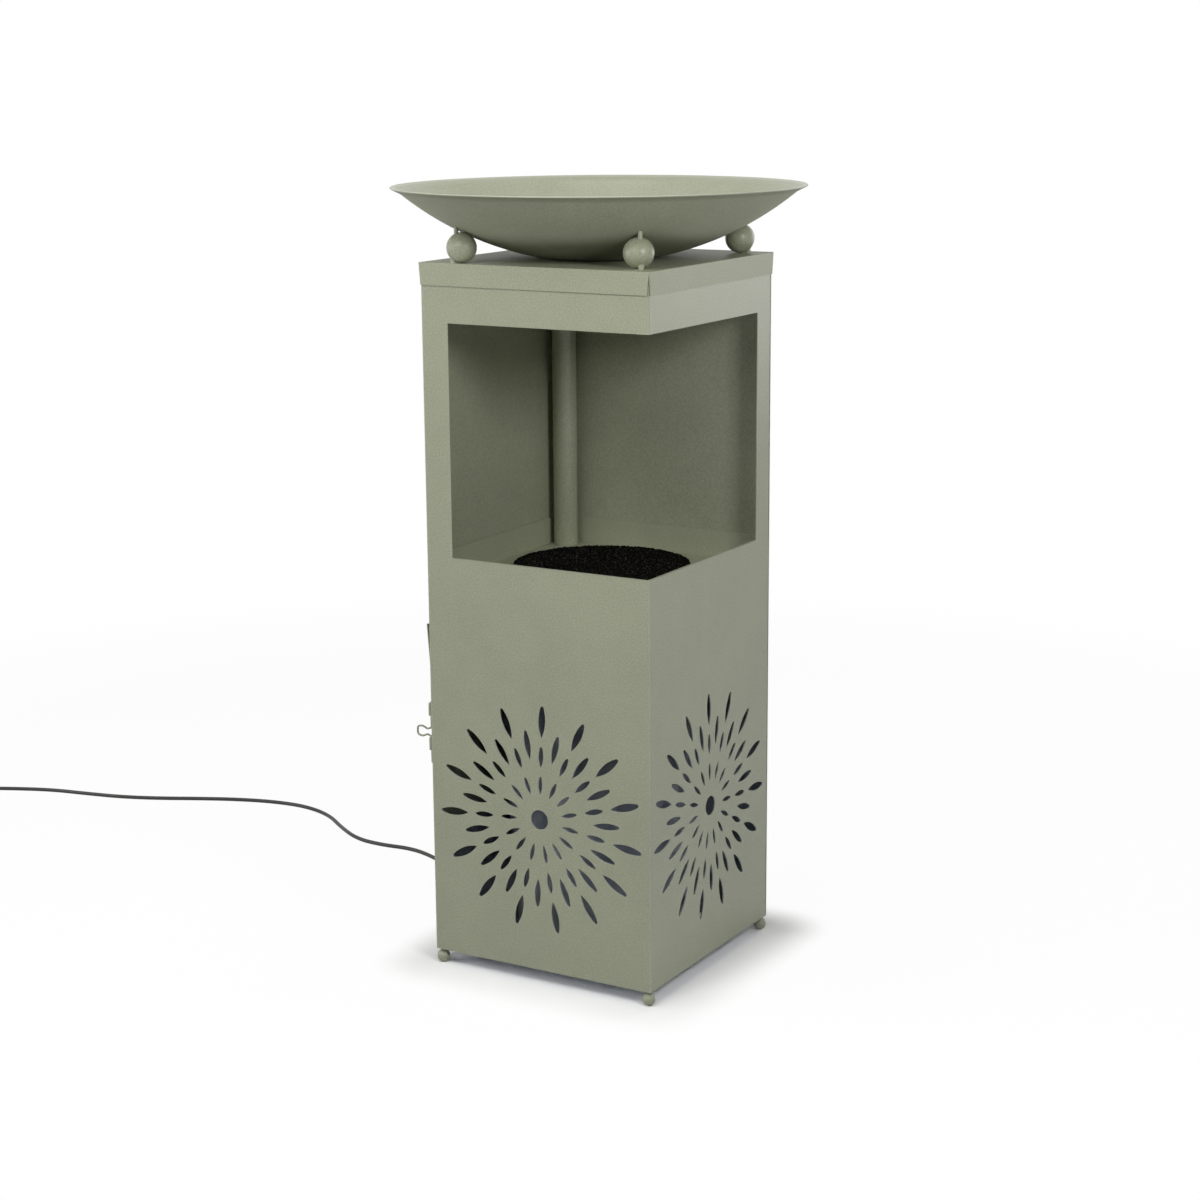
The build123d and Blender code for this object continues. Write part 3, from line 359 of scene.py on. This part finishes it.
# ------------------------------------------------------------------ materials
def new_material(name):
    """A material with its node tree and Principled shader."""
    material = bpy.data.materials.new(name)
    material.use_nodes = True
    return material, material.node_tree, material.node_tree.nodes["Principled BSDF"]


def bump(tree, shader, height, distance, strength=0.5):
    """A Bump node on the shader's normal."""
    made = node(tree, "ShaderNodeBump")
    made.inputs["Distance"].default_value = distance
    made.inputs["Strength"].default_value = strength
    link(tree, height, made.inputs["Height"])
    link(tree, made.outputs[0], shader.inputs["Normal"])


def side_reach(tree):
    """How far a point lies from the axis, along X and along Y."""
    axes = split(tree, object_place(tree))
    return [math_node(tree, "ABSOLUTE", axes[name]) for name in ("X", "Y")]


def near_corner(tree, limit, width=0.0006):
    """1 on the upright folds, where both the x and the y of a square box are near its size."""
    sides = [ramp(tree, reach, limit - width, limit + width) for reach in side_reach(tree)]
    return multiply(tree, *sides)


def inside_box(tree, limit, top):
    """1 on faces inside a square box and below a height."""
    within = ramp(tree, math_node(tree, "MAXIMUM", *side_reach(tree)), limit, limit - 0.0003)
    return multiply(tree, within, ramp(tree, split(tree, object_place(tree))["Z"], top + 0.001, top))


def spun_place(tree, place):
    """Coordinates that change only with the distance from the axis, for spinning marks."""
    flat = node(tree, "ShaderNodeVectorMath", operation="MULTIPLY")
    flat.inputs[1].default_value = (1.0, 1.0, 0.0)
    link(tree, place, flat.inputs[0])
    reach = node(tree, "ShaderNodeVectorMath", operation="LENGTH")
    link(tree, flat.outputs[0], reach.inputs[0])
    ring = node(tree, "ShaderNodeCombineXYZ")
    link(tree, multiply(tree, reach.outputs["Value"], SPUN_RINGS), ring.inputs["X"])
    return ring.outputs[0]


def fold_highlight_and_rub(tree, place, colour, fold):
    """The coat's colour, lighter in patches along the upright folds: partly a painted highlight on the
    bends, partly rubbed coat.
    """
    # painted highlight on the bends, partly rubbed coat, broken into patches
    rubbed = ramp(tree, noise(tree, place, FOLD_BREAKS, 3.0, 0.6), 0.3, 0.55)
    rubbed = multiply(tree, near_corner(tree, fold), multiply(tree, rubbed, 0.6))
    return mix_colour(tree, rubbed, colour, SAGE_LIGHT)


def bare_inside(tree, colour, limit):
    """The coat's colour with unpainted zinc inside and below the pan, and the zinc's mask."""
    inner = inside_box(tree, limit, PAN_UNDERSIDE)
    zinc = use_group(tree, metal_skin, Bright=BARE_ZINC, Dull=DULL_ZINC, Line_Scale=ZINC_LINES,
                     Roughness=0.5)
    return mix_colour(tree, inner, colour, zinc["Colour"]), inner


def bowl_highlight_and_shade(tree, place, colour, rim):
    """The bowl's painted highlight along its lip, a painted shadow line just under the lip, and a
    darker film on its underside towards the lowest part, partly painted shade and partly dirt.
    """
    height = split(tree, place)["Z"]
    down = ramp(tree, facing(tree)["Z"], -0.1, -0.3)
    # painted highlight along the lip
    lip = ramp(tree, height, rim - 0.0026, rim - 0.0016)
    colour = mix_colour(tree, multiply(tree, lip, 0.7), colour, SAGE_LIGHT)
    # painted shadow line under the lip, on the outside
    below = multiply(tree, ramp(tree, height, rim - 0.0075, rim - 0.003), subtract(tree, 1.0, lip))
    colour = mix_colour(tree, multiply(tree, multiply(tree, below, down), 0.4), colour, SAGE_SHADE)
    # darker towards the lowest part of the underside: partly painted shade, partly a dirt film
    film = multiply(tree, ramp(tree, height, rim - 0.044, rim - 0.062, 0.26, 0.85), down)
    patches = ramp(tree, noise(tree, place, FILM_PATCH, 4.0, 0.6), 0.2, 0.6, 0.8, 1.0)
    return mix_colour(tree, multiply(tree, film, patches), colour, SAGE_SHADE)


def make_paint(name, dust=0.12, wear=0.35, radius=0.0008, roughness=0.34, shine=0.45,
               fold=0.0, bare=0.0, rim=0.0):
    """Satin powder coat on sheet steel.

    fold is half the width between the upright folds, which get a painted highlight that is partly
    rubbed coat, bare is half the width within which the zinc shows, and rim is the height of the bowl's
    edge, below which its painted highlight and shade lie; each is left out at 0.
    """
    material, tree, shader = new_material(name)
    skin = use_group(tree, sprayed_coat, Coat=SAGE, Roughness=roughness)
    dusty = use_group(tree, settled_dust, Colour=skin["Colour"], Amount=dust)
    worn = use_group(tree, edge_wear, Colour=dusty["Colour"], Worn=SAGE_LIGHT, Radius=radius,
                     Amount=wear)
    colour = worn["Colour"]
    height = skin["Height"]
    rough = add(tree, skin["Roughness"], multiply(tree, dusty["Mask"], 0.3))
    rough = subtract(tree, rough, multiply(tree, worn["Mask"], 0.1))
    place = object_place(tree)
    if fold:
        colour = fold_highlight_and_rub(tree, place, colour, fold)
    if bare:
        colour, inner = bare_inside(tree, colour, bare)
        link(tree, multiply(tree, inner, ZINC_SHEEN), shader.inputs["Metallic"])
    if rim:
        colour = bowl_highlight_and_shade(tree, place, colour, rim)
        rough = add(tree, rough, ramp(tree, facing(tree)["Z"], 0.1, -0.1, 0.0, 0.3))
        rings = noise(tree, spun_place(tree, place), 1.0, 2.0, 0.5)
        height = add(tree, height, multiply(tree, rings, 0.5))
    link(tree, colour, shader.inputs["Base Color"])
    link(tree, rough, shader.inputs["Roughness"])
    bump(tree, shader, height, COAT_HEIGHT, 0.55)
    shader.inputs["Specular IOR Level"].default_value = shine
    return material


def make_moulding(name, base, scuff, roughness, grain, depth, scuffs=0.3, wear=0.3, dust=0.1):
    """Moulded plastic or rubber."""
    material, tree, shader = new_material(name)
    skin = use_group(tree, moulded_skin, Base=base, Scuff=scuff, Grain_Scale=grain, Scuffs=scuffs,
                     Roughness=roughness)
    dusty = use_group(tree, settled_dust, Colour=skin["Colour"], Amount=dust)
    worn = use_group(tree, edge_wear, Colour=dusty["Colour"], Worn=scuff, Radius=0.0006, Amount=wear)
    link(tree, worn["Colour"], shader.inputs["Base Color"])
    link(tree, skin["Roughness"], shader.inputs["Roughness"])
    bump(tree, shader, skin["Height"], depth)
    shader.inputs["Specular IOR Level"].default_value = 0.5
    return material


def make_metal(name, bright, dull, roughness, lines, depth):
    """Plated or turned metal."""
    material, tree, shader = new_material(name)
    skin = use_group(tree, metal_skin, Bright=bright, Dull=dull, Line_Scale=lines, Roughness=roughness)
    worn = use_group(tree, edge_wear, Colour=skin["Colour"], Worn=bright, Radius=0.0004, Amount=0.4)
    link(tree, worn["Colour"], shader.inputs["Base Color"])
    link(tree, skin["Roughness"], shader.inputs["Roughness"])
    bump(tree, shader, skin["Height"], depth)
    shader.inputs["Metallic"].default_value = 1.0
    return material


def make_tub_skin():
    """Glossy grey-blue plastic, paler towards the bottom with painted light from below and darker above
    with painted shade.
    """
    material, tree, shader = new_material("tub_plastic")
    skin = use_group(tree, moulded_skin, Base=TUB_BLUE, Scuff=TUB_SCUFF, Grain_Scale=500.0, Scuffs=0.35,
                     Roughness=0.2)
    place = object_place(tree)
    waver = multiply(tree, centred(tree, noise(tree, place, 14.0, 4.0, 0.6)), 0.06)
    level = add(tree, split(tree, place)["Z"], waver)
    # painted shade: the tub darker above
    shaded_above = mix_colour(tree, ramp(tree, level, 0.17, 0.30), skin["Colour"], TUB_PAINTED_SHADE)
    # painted light from below: the tub paler towards the bottom
    scale = multiply(tree, ramp(tree, level, 0.14, 0.07), 0.85)
    underlit_colour = mix_colour(tree, scale, shaded_above, PAINTED_UNDERLIGHT)
    dusty = use_group(tree, settled_dust, Colour=underlit_colour, Amount=0.2)
    link(tree, dusty["Colour"], shader.inputs["Base Color"])
    link(tree, skin["Roughness"], shader.inputs["Roughness"])
    bump(tree, shader, skin["Height"], 0.00005)
    return material


def make_foam():
    """Black open-cell foam: near-black pits, darkened partly as painted shade, between strands with
    painted glints.
    """
    material, tree, shader = new_material("open_cell_foam")
    place = object_place(tree)
    cells = node(tree, "ShaderNodeTexVoronoi", feature="DISTANCE_TO_EDGE")
    cells.inputs["Scale"].default_value = FOAM_CELLS
    link(tree, place, cells.inputs["Vector"])
    strand = ramp(tree, cells.outputs["Distance"], 0.16, 0.03)
    stray = ramp(tree, noise(tree, place, FOAM_STRAYS, 3.0, 0.6), 0.5, 0.66)
    # painted glints on the strands in scattered patches; the near black elsewhere is partly painted
    # shade in the pits
    strand_glint = multiply(tree, strand, stray)
    link(tree, mix_colour(tree, strand_glint, FOAM_BLACK_AND_PIT_SHADE, FOAM_STRAND_GLINT), shader.inputs["Base Color"])
    link(tree, subtract(tree, 0.95, multiply(tree, strand_glint, 0.4)), shader.inputs["Roughness"])
    bump(tree, shader, strand, 0.0012, 1.0)
    shader.inputs["Specular IOR Level"].default_value = 0.08
    return material


def make_cord_skin():
    """Smooth black PVC with a slight wave and rubbed spots."""
    return make_moulding("cord_pvc", RUBBER_BLACK, CORD_SCUFF, 0.42, 260.0, 0.0002, 0.15, 0.0, 0.12)


def make_sleeved_pin():
    """Nickel pins with a black sleeve over the half nearest the plug."""
    material, tree, shader = new_material("sleeved_pin")
    skin = use_group(tree, metal_skin, Bright=STEEL, Dull=STEEL_DULL, Line_Scale=1800.0, Roughness=0.25)
    along = node(tree, "ShaderNodeVectorMath", operation="DOT_PRODUCT")
    along.inputs[1].default_value = tuple(plug_heading)
    link(tree, object_place(tree), along.inputs[0])
    sleeve_end = plug_heading.dot(pin_foot) + SLEEVE_LENGTH
    sleeve = ramp(tree, along.outputs["Value"], sleeve_end, sleeve_end - 0.0003)
    link(tree, mix_colour(tree, sleeve, skin["Colour"], PLASTIC_BLACK), shader.inputs["Base Color"])
    link(tree, subtract(tree, 1.0, sleeve), shader.inputs["Metallic"])
    link(tree, add(tree, skin["Roughness"], multiply(tree, sleeve, 0.2)), shader.inputs["Roughness"])
    bump(tree, shader, skin["Height"], 0.00002)
    return material


def clothe(names, material):
    """Puts a material on CAD nodes."""
    for name in names:
        mesh = nodes[name].data
        mesh.materials.clear()
        mesh.materials.append(material)


# ------------------------------------------------------------------ mesh helpers
def deselect():
    """Nothing selected, in object mode."""
    if bpy.context.object and bpy.context.object.mode != "OBJECT":
        bpy.ops.object.mode_set(mode="OBJECT")
    bpy.ops.object.select_all(action="DESELECT")


def apply_place(piece):
    """The piece's place goes into its mesh."""
    deselect()
    piece.select_set(True)
    bpy.context.view_layer.objects.active = piece
    bpy.ops.object.transform_apply(location=True, rotation=True, scale=True)


def finish_piece(piece, body, material, replaced=(), smooth=40.0):
    """Puts a material on a piece, smooths a mesh by angle, hangs the piece under its body and hides the
    CAD nodes that it stands for.
    """
    piece.data.materials.clear()
    piece.data.materials.append(material)
    if piece.type == "MESH":
        deselect()
        piece.select_set(True)
        bpy.context.view_layer.objects.active = piece
        bpy.ops.object.shade_smooth_by_angle(angle=radians(smooth))
    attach(piece, body)
    if replaced:
        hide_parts(*replaced)
    return piece


# ------------------------------------------------------------------ cord
CORD_D = 0.0055
CORD_R = CORD_D / 2
GROMMET_Y = 0.085
GROMMET_Z = 0.042

# the route's points, as the CAD model has them
cord_route = [
    (-0.147, GROMMET_Y, GROMMET_Z),
    (-0.197, GROMMET_Y, GROMMET_Z),
    (-0.244, 0.097, 0.026),
    (-0.287, 0.117, 0.007),
    (-0.330, 0.144, CORD_R),
    (-0.372, 0.168, CORD_R),
    (-0.418, 0.183, CORD_R),
    (-0.466, 0.176, CORD_R),
    (-0.512, 0.181, CORD_R),
    (-0.562, 0.212, CORD_R),
    (-0.612, 0.250, CORD_R),
    (-0.668, 0.267, CORD_R),
    (-0.724, 0.262, CORD_R),
    (-0.780, 0.244, CORD_R),
    (-0.833, 0.219, CORD_R),
    (-0.884, 0.192, CORD_R),
    (-0.938, 0.170, CORD_R),
    (-0.996, 0.157, CORD_R),
    (-1.055, 0.146, CORD_R),
    (-1.112, 0.122, CORD_R),
    (-1.166, 0.094, CORD_R),
]

# the coil: three turns in two layers, then off to the plug
COIL_TURNS = 3
COIL_TURN_R = 0.03025
COIL_OUTER_R = COIL_TURN_R + CORD_R
LAYER_LOW = CORD_R
LAYER_HIGH = 3 * CORD_R
POINTS_PER_TURN = 24
LEAVE_ANGLE = 168.0
# the turns, in degrees, over which the coil steps in, steps out and climbs to its upper layer
INWARD_SPAN = (295.0, 375.0)
OUTWARD_SPAN = (895.0, 975.0)
RISE_SPAN = (610.0, 670.0)
PLUG_T = 0.0137
RELIEF_GAP = 0.011
RELIEF_LENGTH = 0.024
PLUG_LENGTH = 0.036
SLEEVE_LENGTH = 0.010

arrival = (Vector(cord_route[-1]) - Vector(cord_route[-2])).normalized()
coil_centre = Vector(cord_route[-1]) + Vector((-arrival.y, arrival.x, 0)) * COIL_OUTER_R
start_angle = degrees((Vector(cord_route[-1]) - coil_centre).to_2d().angle_signed(Vector((1, 0))))
leave_turn = COIL_TURNS * 360.0 + (LEAVE_ANGLE - start_angle)


def ease(value, low, high):
    """0 to 1, smoothly, as value goes from low to high."""
    share = min(1.0, max(0.0, (value - low) / (high - low)))
    return share * share * (3 - 2 * share)


def coil_place(turned):
    """The point of the coil after it has turned by so many degrees."""
    inward = ease(turned, *INWARD_SPAN) - ease(turned, *OUTWARD_SPAN)
    rise = ease(turned, *RISE_SPAN)
    settle = ease(turned, leave_turn - 50.0, leave_turn + 20.0)
    radius = COIL_OUTER_R - 2 * CORD_R * inward
    height = LAYER_LOW + (LAYER_HIGH - LAYER_LOW) * rise - (LAYER_HIGH - PLUG_T / 2) * settle
    angle = radians(start_angle + turned)
    # the curve passes a little inside its points
    reach = radius / (1 + cos(pi / POINTS_PER_TURN)) * 2
    return (coil_centre.x + reach * cos(angle), coil_centre.y + reach * sin(angle), height)


steps = round(leave_turn / 360.0 * POINTS_PER_TURN)
coil_points = [coil_place(leave_turn * index / steps) for index in range(1, steps + 1)]

plug_angle = radians(LEAVE_ANGLE)
plug_heading = Vector((-sin(plug_angle), cos(plug_angle), 0))
plug_start = Vector((coil_centre.x + COIL_OUTER_R * cos(plug_angle),
                     coil_centre.y + COIL_OUTER_R * sin(plug_angle), PLUG_T / 2))
plug_foot = plug_start + plug_heading * (RELIEF_GAP + RELIEF_LENGTH)
pin_foot = plug_foot + plug_heading * PLUG_LENGTH
tail = [tuple(plug_start + plug_heading * RELIEF_GAP * 0.7),
        tuple(plug_start + plug_heading * (RELIEF_GAP + RELIEF_LENGTH * 0.7))]


def make_cord():
    """One open spline from the grommet to the plug."""
    points = cord_route + coil_points + tail
    curve = bpy.data.curves.new("mains_cord", "CURVE")
    curve.dimensions = "3D"
    spline = curve.splines.new("NURBS")
    spline.points.add(len(points) - 1)
    for point, place in zip(spline.points, points):
        point.co = (*place, 1.0)
    spline.order_u = 3
    spline.use_endpoint_u = True
    spline.resolution_u = 6
    curve.bevel_depth = CORD_R
    curve.bevel_resolution = 4
    curve.use_fill_caps = True
    piece = bpy.data.objects.new("mains_cord", curve)
    bpy.context.scene.collection.objects.link(piece)
    return piece


cord = finish_piece(make_cord(), "column", make_cord_skin(),
                    ("power_cord", "cord_coil"))


# ------------------------------------------------------------------ foam disc
FOAM_CELL = 0.00105
FOAM_RINGS = 10
FOAM_INSET = 0.0006
FOAM_FUZZ = 0.0011
FOAM_ROOT = 0.0014
STRANDS_TOP = 1500
STRANDS_RIM = 900
STRAND_LENGTH = 0.0012


def displace(piece, kind, scale, strength, group):
    """Pushes the skin in by a texture, and keeps the result in the mesh."""
    texture = bpy.data.textures.new("foam_cells", kind)
    texture.noise_scale = scale
    modifier = piece.modifiers.new("cells", "DISPLACE")
    modifier.texture = texture
    modifier.texture_coords = "LOCAL"
    modifier.strength = strength
    modifier.mid_level = 0.9
    modifier.vertex_group = group
    bpy.context.view_layer.objects.active = piece
    bpy.ops.object.modifier_apply(modifier=modifier.name)


def make_strand():
    """One bent strand of foam, three-sided and pointed."""
    deselect()
    bpy.ops.mesh.primitive_cone_add(vertices=3, radius1=0.00042, radius2=0.00034, depth=STRAND_LENGTH,
                                    end_fill_type="NGON", location=(0, 0, 0))
    strand = bpy.context.object
    bpy.ops.object.mode_set(mode="EDIT")
    mesh = bmesh.from_edit_mesh(strand.data)
    for face in mesh.faces:
        face.select_set(face.calc_center_median().z > 0.45 * STRAND_LENGTH)
    bmesh.update_edit_mesh(strand.data)
    bpy.ops.mesh.extrude_region_move(TRANSFORM_OT_translate={"value": (0.0004, 0, 0.0011)})
    bpy.ops.transform.resize(value=(0.8, 0.8, 1))
    bpy.ops.mesh.extrude_region_move(TRANSFORM_OT_translate={"value": (0.0009, 0, 0.0005)})
    bpy.ops.transform.resize(value=(0.4, 0.4, 1))
    bpy.ops.object.mode_set(mode="OBJECT")
    return strand


def make_foam_disc():
    """A cut disc of open-cell foam: a pitted top and rim with loose strands."""
    low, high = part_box("foam_disc")
    centre = (low + high) / 2
    radius = (high.x - low.x) / 2 - FOAM_INSET
    top = high.z - FOAM_INSET - FOAM_FUZZ
    deselect()
    ring_step = (low.z - top) / FOAM_RINGS
    cells = int(2 * radius / FOAM_CELL)
    bpy.ops.mesh.primitive_grid_add(x_subdivisions=cells, y_subdivisions=cells, size=2 * radius,
                                    location=(centre.x, centre.y, top))
    disc = bpy.context.object
    disc.name = "foam_pad"
    apply_place(disc)
    bpy.ops.object.mode_set(mode="EDIT")
    mesh = bmesh.from_edit_mesh(disc.data)
    for face in mesh.faces:
        face.select_set((face.calc_center_median() - centre).to_2d().length > radius)
    bmesh.update_edit_mesh(disc.data)
    bpy.ops.mesh.delete(type="FACE")
    bpy.ops.mesh.select_all(action="SELECT")
    for _ in range(FOAM_RINGS):
        bpy.ops.mesh.extrude_region_move(TRANSFORM_OT_translate={"value": (0, 0, ring_step)})
    bpy.ops.mesh.dissolve_faces()
    bpy.ops.mesh.select_all(action="SELECT")
    bpy.ops.mesh.normals_make_consistent(inside=False)
    bpy.ops.object.mode_set(mode="OBJECT")
    open_skin = disc.vertex_groups.new(name="open_skin")
    above_base = [point.index for point in disc.data.vertices if point.co.z > low.z + 0.0004]
    open_skin.add(above_base, 1.0, "REPLACE")
    displace(disc, "VORONOI", 0.0032, 0.0042, "open_skin")
    displace(disc, "CLOUDS", 0.0014, 0.0016, "open_skin")

    chance = Random(5)
    strand = make_strand()
    strands = [strand]
    for index in range(STRANDS_TOP + STRANDS_RIM):
        copy = bpy.data.objects.new("strand", strand.data)
        bpy.context.scene.collection.objects.link(copy)
        around = chance.uniform(0, 2 * pi)
        if index < STRANDS_TOP:
            reach = radius * chance.random() ** 0.5
            height = top - FOAM_ROOT
            lean = chance.uniform(0.0, 0.9)
        else:
            reach = radius - FOAM_ROOT
            height = chance.uniform(low.z + 0.002, top - 0.001)
            lean = chance.uniform(0.9, 1.6)
        copy.location = (centre.x + reach * cos(around), centre.y + reach * sin(around), height)
        copy.rotation_mode = "QUATERNION"
        spin = Quaternion((0, 0, 1), chance.uniform(0, 2 * pi))
        side = around if index >= STRANDS_TOP else chance.uniform(0, 2 * pi)
        copy.rotation_quaternion = Quaternion((-sin(side), cos(side), 0), lean) @ spin
        copy.scale = (1, 1, chance.uniform(0.8, 1.5))
        strands.append(copy)
    strand.location = (centre.x, centre.y, top - 0.002)
    deselect()
    for copy in strands:
        copy.select_set(True)
    disc.select_set(True)
    bpy.context.view_layer.objects.active = disc
    bpy.ops.object.join()
    disc.vertex_groups.clear()
    return disc


foam = finish_piece(make_foam_disc(), "foam", make_foam(), ("foam_disc",), smooth=25.0)


# ------------------------------------------------------------------ finishes on the CAD nodes
sheet_paint = make_paint("sage_sheet", fold=FRONT_SHELL_OUT - FOLD_INSET,
                         bare=FRONT_SHELL_OUT - PAINT_DEPTH)
lid_paint = make_paint("sage_lid", roughness=0.46, fold=LID_OUT - FOLD_INSET)
# the bowl's stronger, wider edge wear is partly a painted highlight on its rim
bowl_paint = make_paint("sage_bowl", wear=0.5, radius=0.0012, roughness=0.36, rim=BOWL_RIM)
pan_paint = make_paint("sage_pan", roughness=0.6, shine=0.3)
pipe_paint = make_paint("sage_tube")
small_paint = make_paint("sage_small", wear=0.55, radius=0.0005)
clothe(["front_shell", "rear_shell", "base_plate", "pan_ledges", "hatch_door"], sheet_paint)
clothe(["splash_pan"], pan_paint)
clothe(["lid"], lid_paint)
clothe(["bowl"], bowl_paint)
clothe(["riser_pipe"], pipe_paint)
clothe(["ball_feet", "foot_posts", "ball_spacers", "spacer_posts", "hinge_fixed_leaves",
        "hinge_door_leaves", "pull_plate", "pull_tubes", "wire_pull", "magnet_holder",
        "fixed_leaf_rivets", "door_leaf_rivets"], small_paint)
clothe(["reservoir_tub"], make_tub_skin())
clothe(["pump_body", "intake_cover", "impeller", "feed_fitting", "crossover_elbow", "overflow_pipe",
        "overflow_nut", "plug"],
       make_moulding("black_moulding", PLASTIC_BLACK, PLASTIC_WORN, 0.48, 1500.0, 0.00008))
clothe(["riser_hose", "crossover_tube", "pump_lead", "bowl_seals", "pump_feet", "cord_grommet",
        "riser_bush", "plug_relief"],
       make_moulding("black_rubber", RUBBER_BLACK, RUBBER_SCUFF, 0.62, 1100.0, 0.0001, 0.2, 0.2, 0.15))
clothe(["feed_nut", "nozzle"], make_metal("turned_brass", BRASS, BRASS_DULL, 0.3, 2200.0, 0.00003))
clothe(["hinge_pins", "impeller_shaft"],
       make_metal("plated_steel", STEEL, STEEL_DULL, 0.28, 2600.0, 0.00002))
clothe(["door_magnet"], make_moulding("ferrite", FERRITE, FERRITE_CHIP, 0.55, 900.0, 0.0001, 0.4, 0.6))
clothe(["plug_pins"], make_sleeved_pin())


# ------------------------------------------------------------------ floor, lights, camera
FLOOR_SIZE = 60.0
FLOOR_PALE = 0.74
SHADOW_DEPTH = 1.3
SHADOW_NEAR = 0.01
SHADOW_FAR = 0.085
SHADOW_REST = 0.05
# how far out the shadow starts to give way to plain white, and where it has gone
FLOOR_FADE = (1.2, 2.0)


def seen_rays(tree):
    """1 for camera, glossy and transmission rays, 0 for the light that falls on the object."""
    rays = node(tree, "ShaderNodeLightPath").outputs
    return math_node(tree, "MAXIMUM", rays["Is Camera Ray"],
                     math_node(tree, "MAXIMUM", rays["Is Glossy Ray"], rays["Is Transmission Ray"]))


def outside_column(tree):
    """The distance from the column's square foot, in plan."""
    sides = [math_node(tree, "MAXIMUM", subtract(tree, reach, FRONT_SHELL_OUT), 0.0)
             for reach in side_reach(tree)]
    return math_node(tree, "SQRT", add(tree, *[multiply(tree, side, side) for side in sides]))


def make_floor():
    """A pale floor that shows white and keeps the shadow near the object."""
    material, tree, shader = new_material("studio_floor")
    tree.nodes.remove(shader)
    output = tree.nodes["Material Output"]
    away = outside_column(tree)
    under = ramp(tree, away, SHADOW_NEAR, SHADOW_FAR, 1.0, SHADOW_REST)
    under = multiply(tree, under, ramp(tree, away, *FLOOR_FADE, 1.0, 0.0))
    seen = seen_rays(tree)
    level = node(tree, "ShaderNodeMix", data_type="FLOAT")
    link(tree, seen, level.inputs[0])
    level.inputs[2].default_value = FLOOR_PALE
    link(tree, multiply(tree, under, SHADOW_DEPTH), level.inputs[3])
    pale = node(tree, "ShaderNodeCombineColor")
    for index in range(3):
        link(tree, level.outputs[0], pale.inputs[index])
    diffuse = node(tree, "ShaderNodeBsdfDiffuse")
    link(tree, pale.outputs[0], diffuse.inputs["Color"])
    glow = node(tree, "ShaderNodeEmission")
    link(tree, multiply(tree, seen, subtract(tree, 1.0, under)), glow.inputs["Strength"])
    both = node(tree, "ShaderNodeAddShader")
    link(tree, diffuse.outputs[0], both.inputs[0])
    link(tree, glow.outputs[0], both.inputs[1])
    link(tree, both.outputs[0], output.inputs["Surface"])
    deselect()
    bpy.ops.mesh.primitive_plane_add(size=FLOOR_SIZE, location=(0, 0, 0))
    floor = bpy.context.object
    floor.name = "studio_floor"
    floor.data.materials.append(material)


def make_world():
    """White surroundings that the camera and reflections see; the soft boxes give the light."""
    world = bpy.data.worlds.new("studio")
    bpy.context.scene.world = world
    world.use_nodes = True
    tree = world.node_tree
    background = tree.nodes["Background"]
    background.inputs["Color"].default_value = (1, 1, 1, 1)
    link(tree, seen_rays(tree), background.inputs["Strength"])


def make_lamp(name, place, aim, size, power):
    """A soft box that looks at a point."""
    lamp = bpy.data.lights.new(name, "AREA")
    lamp.shape = "RECTANGLE"
    lamp.size, lamp.size_y = size
    lamp.energy = power
    box = bpy.data.objects.new(name, lamp)
    bpy.context.scene.collection.objects.link(box)
    box.location = place
    box.rotation_mode = "QUATERNION"
    box.rotation_quaternion = (Vector(aim) - Vector(place)).to_track_quat("-Z", "Y")


make_floor()
make_world()
make_lamp("top_box", (0.0, -0.2, 2.7), (0, 0, 0.5), (1.1, 1.1), 18.5)
make_lamp("left_box", (-1.763, -1.234, 1.007), (0, 0, 0.55), (1.1, 1.1), 13.0)
make_lamp("near_front_box", (0.0, -1.065, 1.546), (0, 0, 0.8), (0.6, 0.6), 5.6)
make_lamp("front_box", (-0.256, -2.088, 1.323), (0, 0, 0.68), (0.35, 0.45), 3.6)
make_lamp("right_box", (1.315, -0.729, 1.227), (0, 0, 0.68), (0.36, 0.4), 8.4)
make_lamp("wide_right_box", (2.079, -0.557, 1.007), (0, 0, 0.55), (1.1, 1.1), 1.6)
make_lamp("back_box", (0.909, 1.950, 1.007), (0, 0, 0.55), (1.1, 1.1), 8.4)


def make_camera():
    """The camera, placed by its fitted axes."""
    right = Vector((0.86272, 0.50563, -0.00757))
    up = Vector((-0.10526, 0.19419, 0.97531))
    ahead = Vector((-0.49461, 0.84062, -0.22075))
    lens = bpy.data.cameras.new("camera")
    lens.lens = 71.886
    lens.sensor_width = 36.0
    lens.clip_start = 0.05
    lens.clip_end = 100.0
    camera = bpy.data.objects.new("camera", lens)
    bpy.context.scene.collection.objects.link(camera)
    turn = Matrix((right, up, -ahead)).transposed().to_4x4()
    camera.matrix_world = Matrix.Translation((1.42963, -2.43421, 1.07984)) @ turn
    bpy.context.scene.camera = camera


make_camera()
bpy.context.scene.view_settings.view_transform = "Standard"
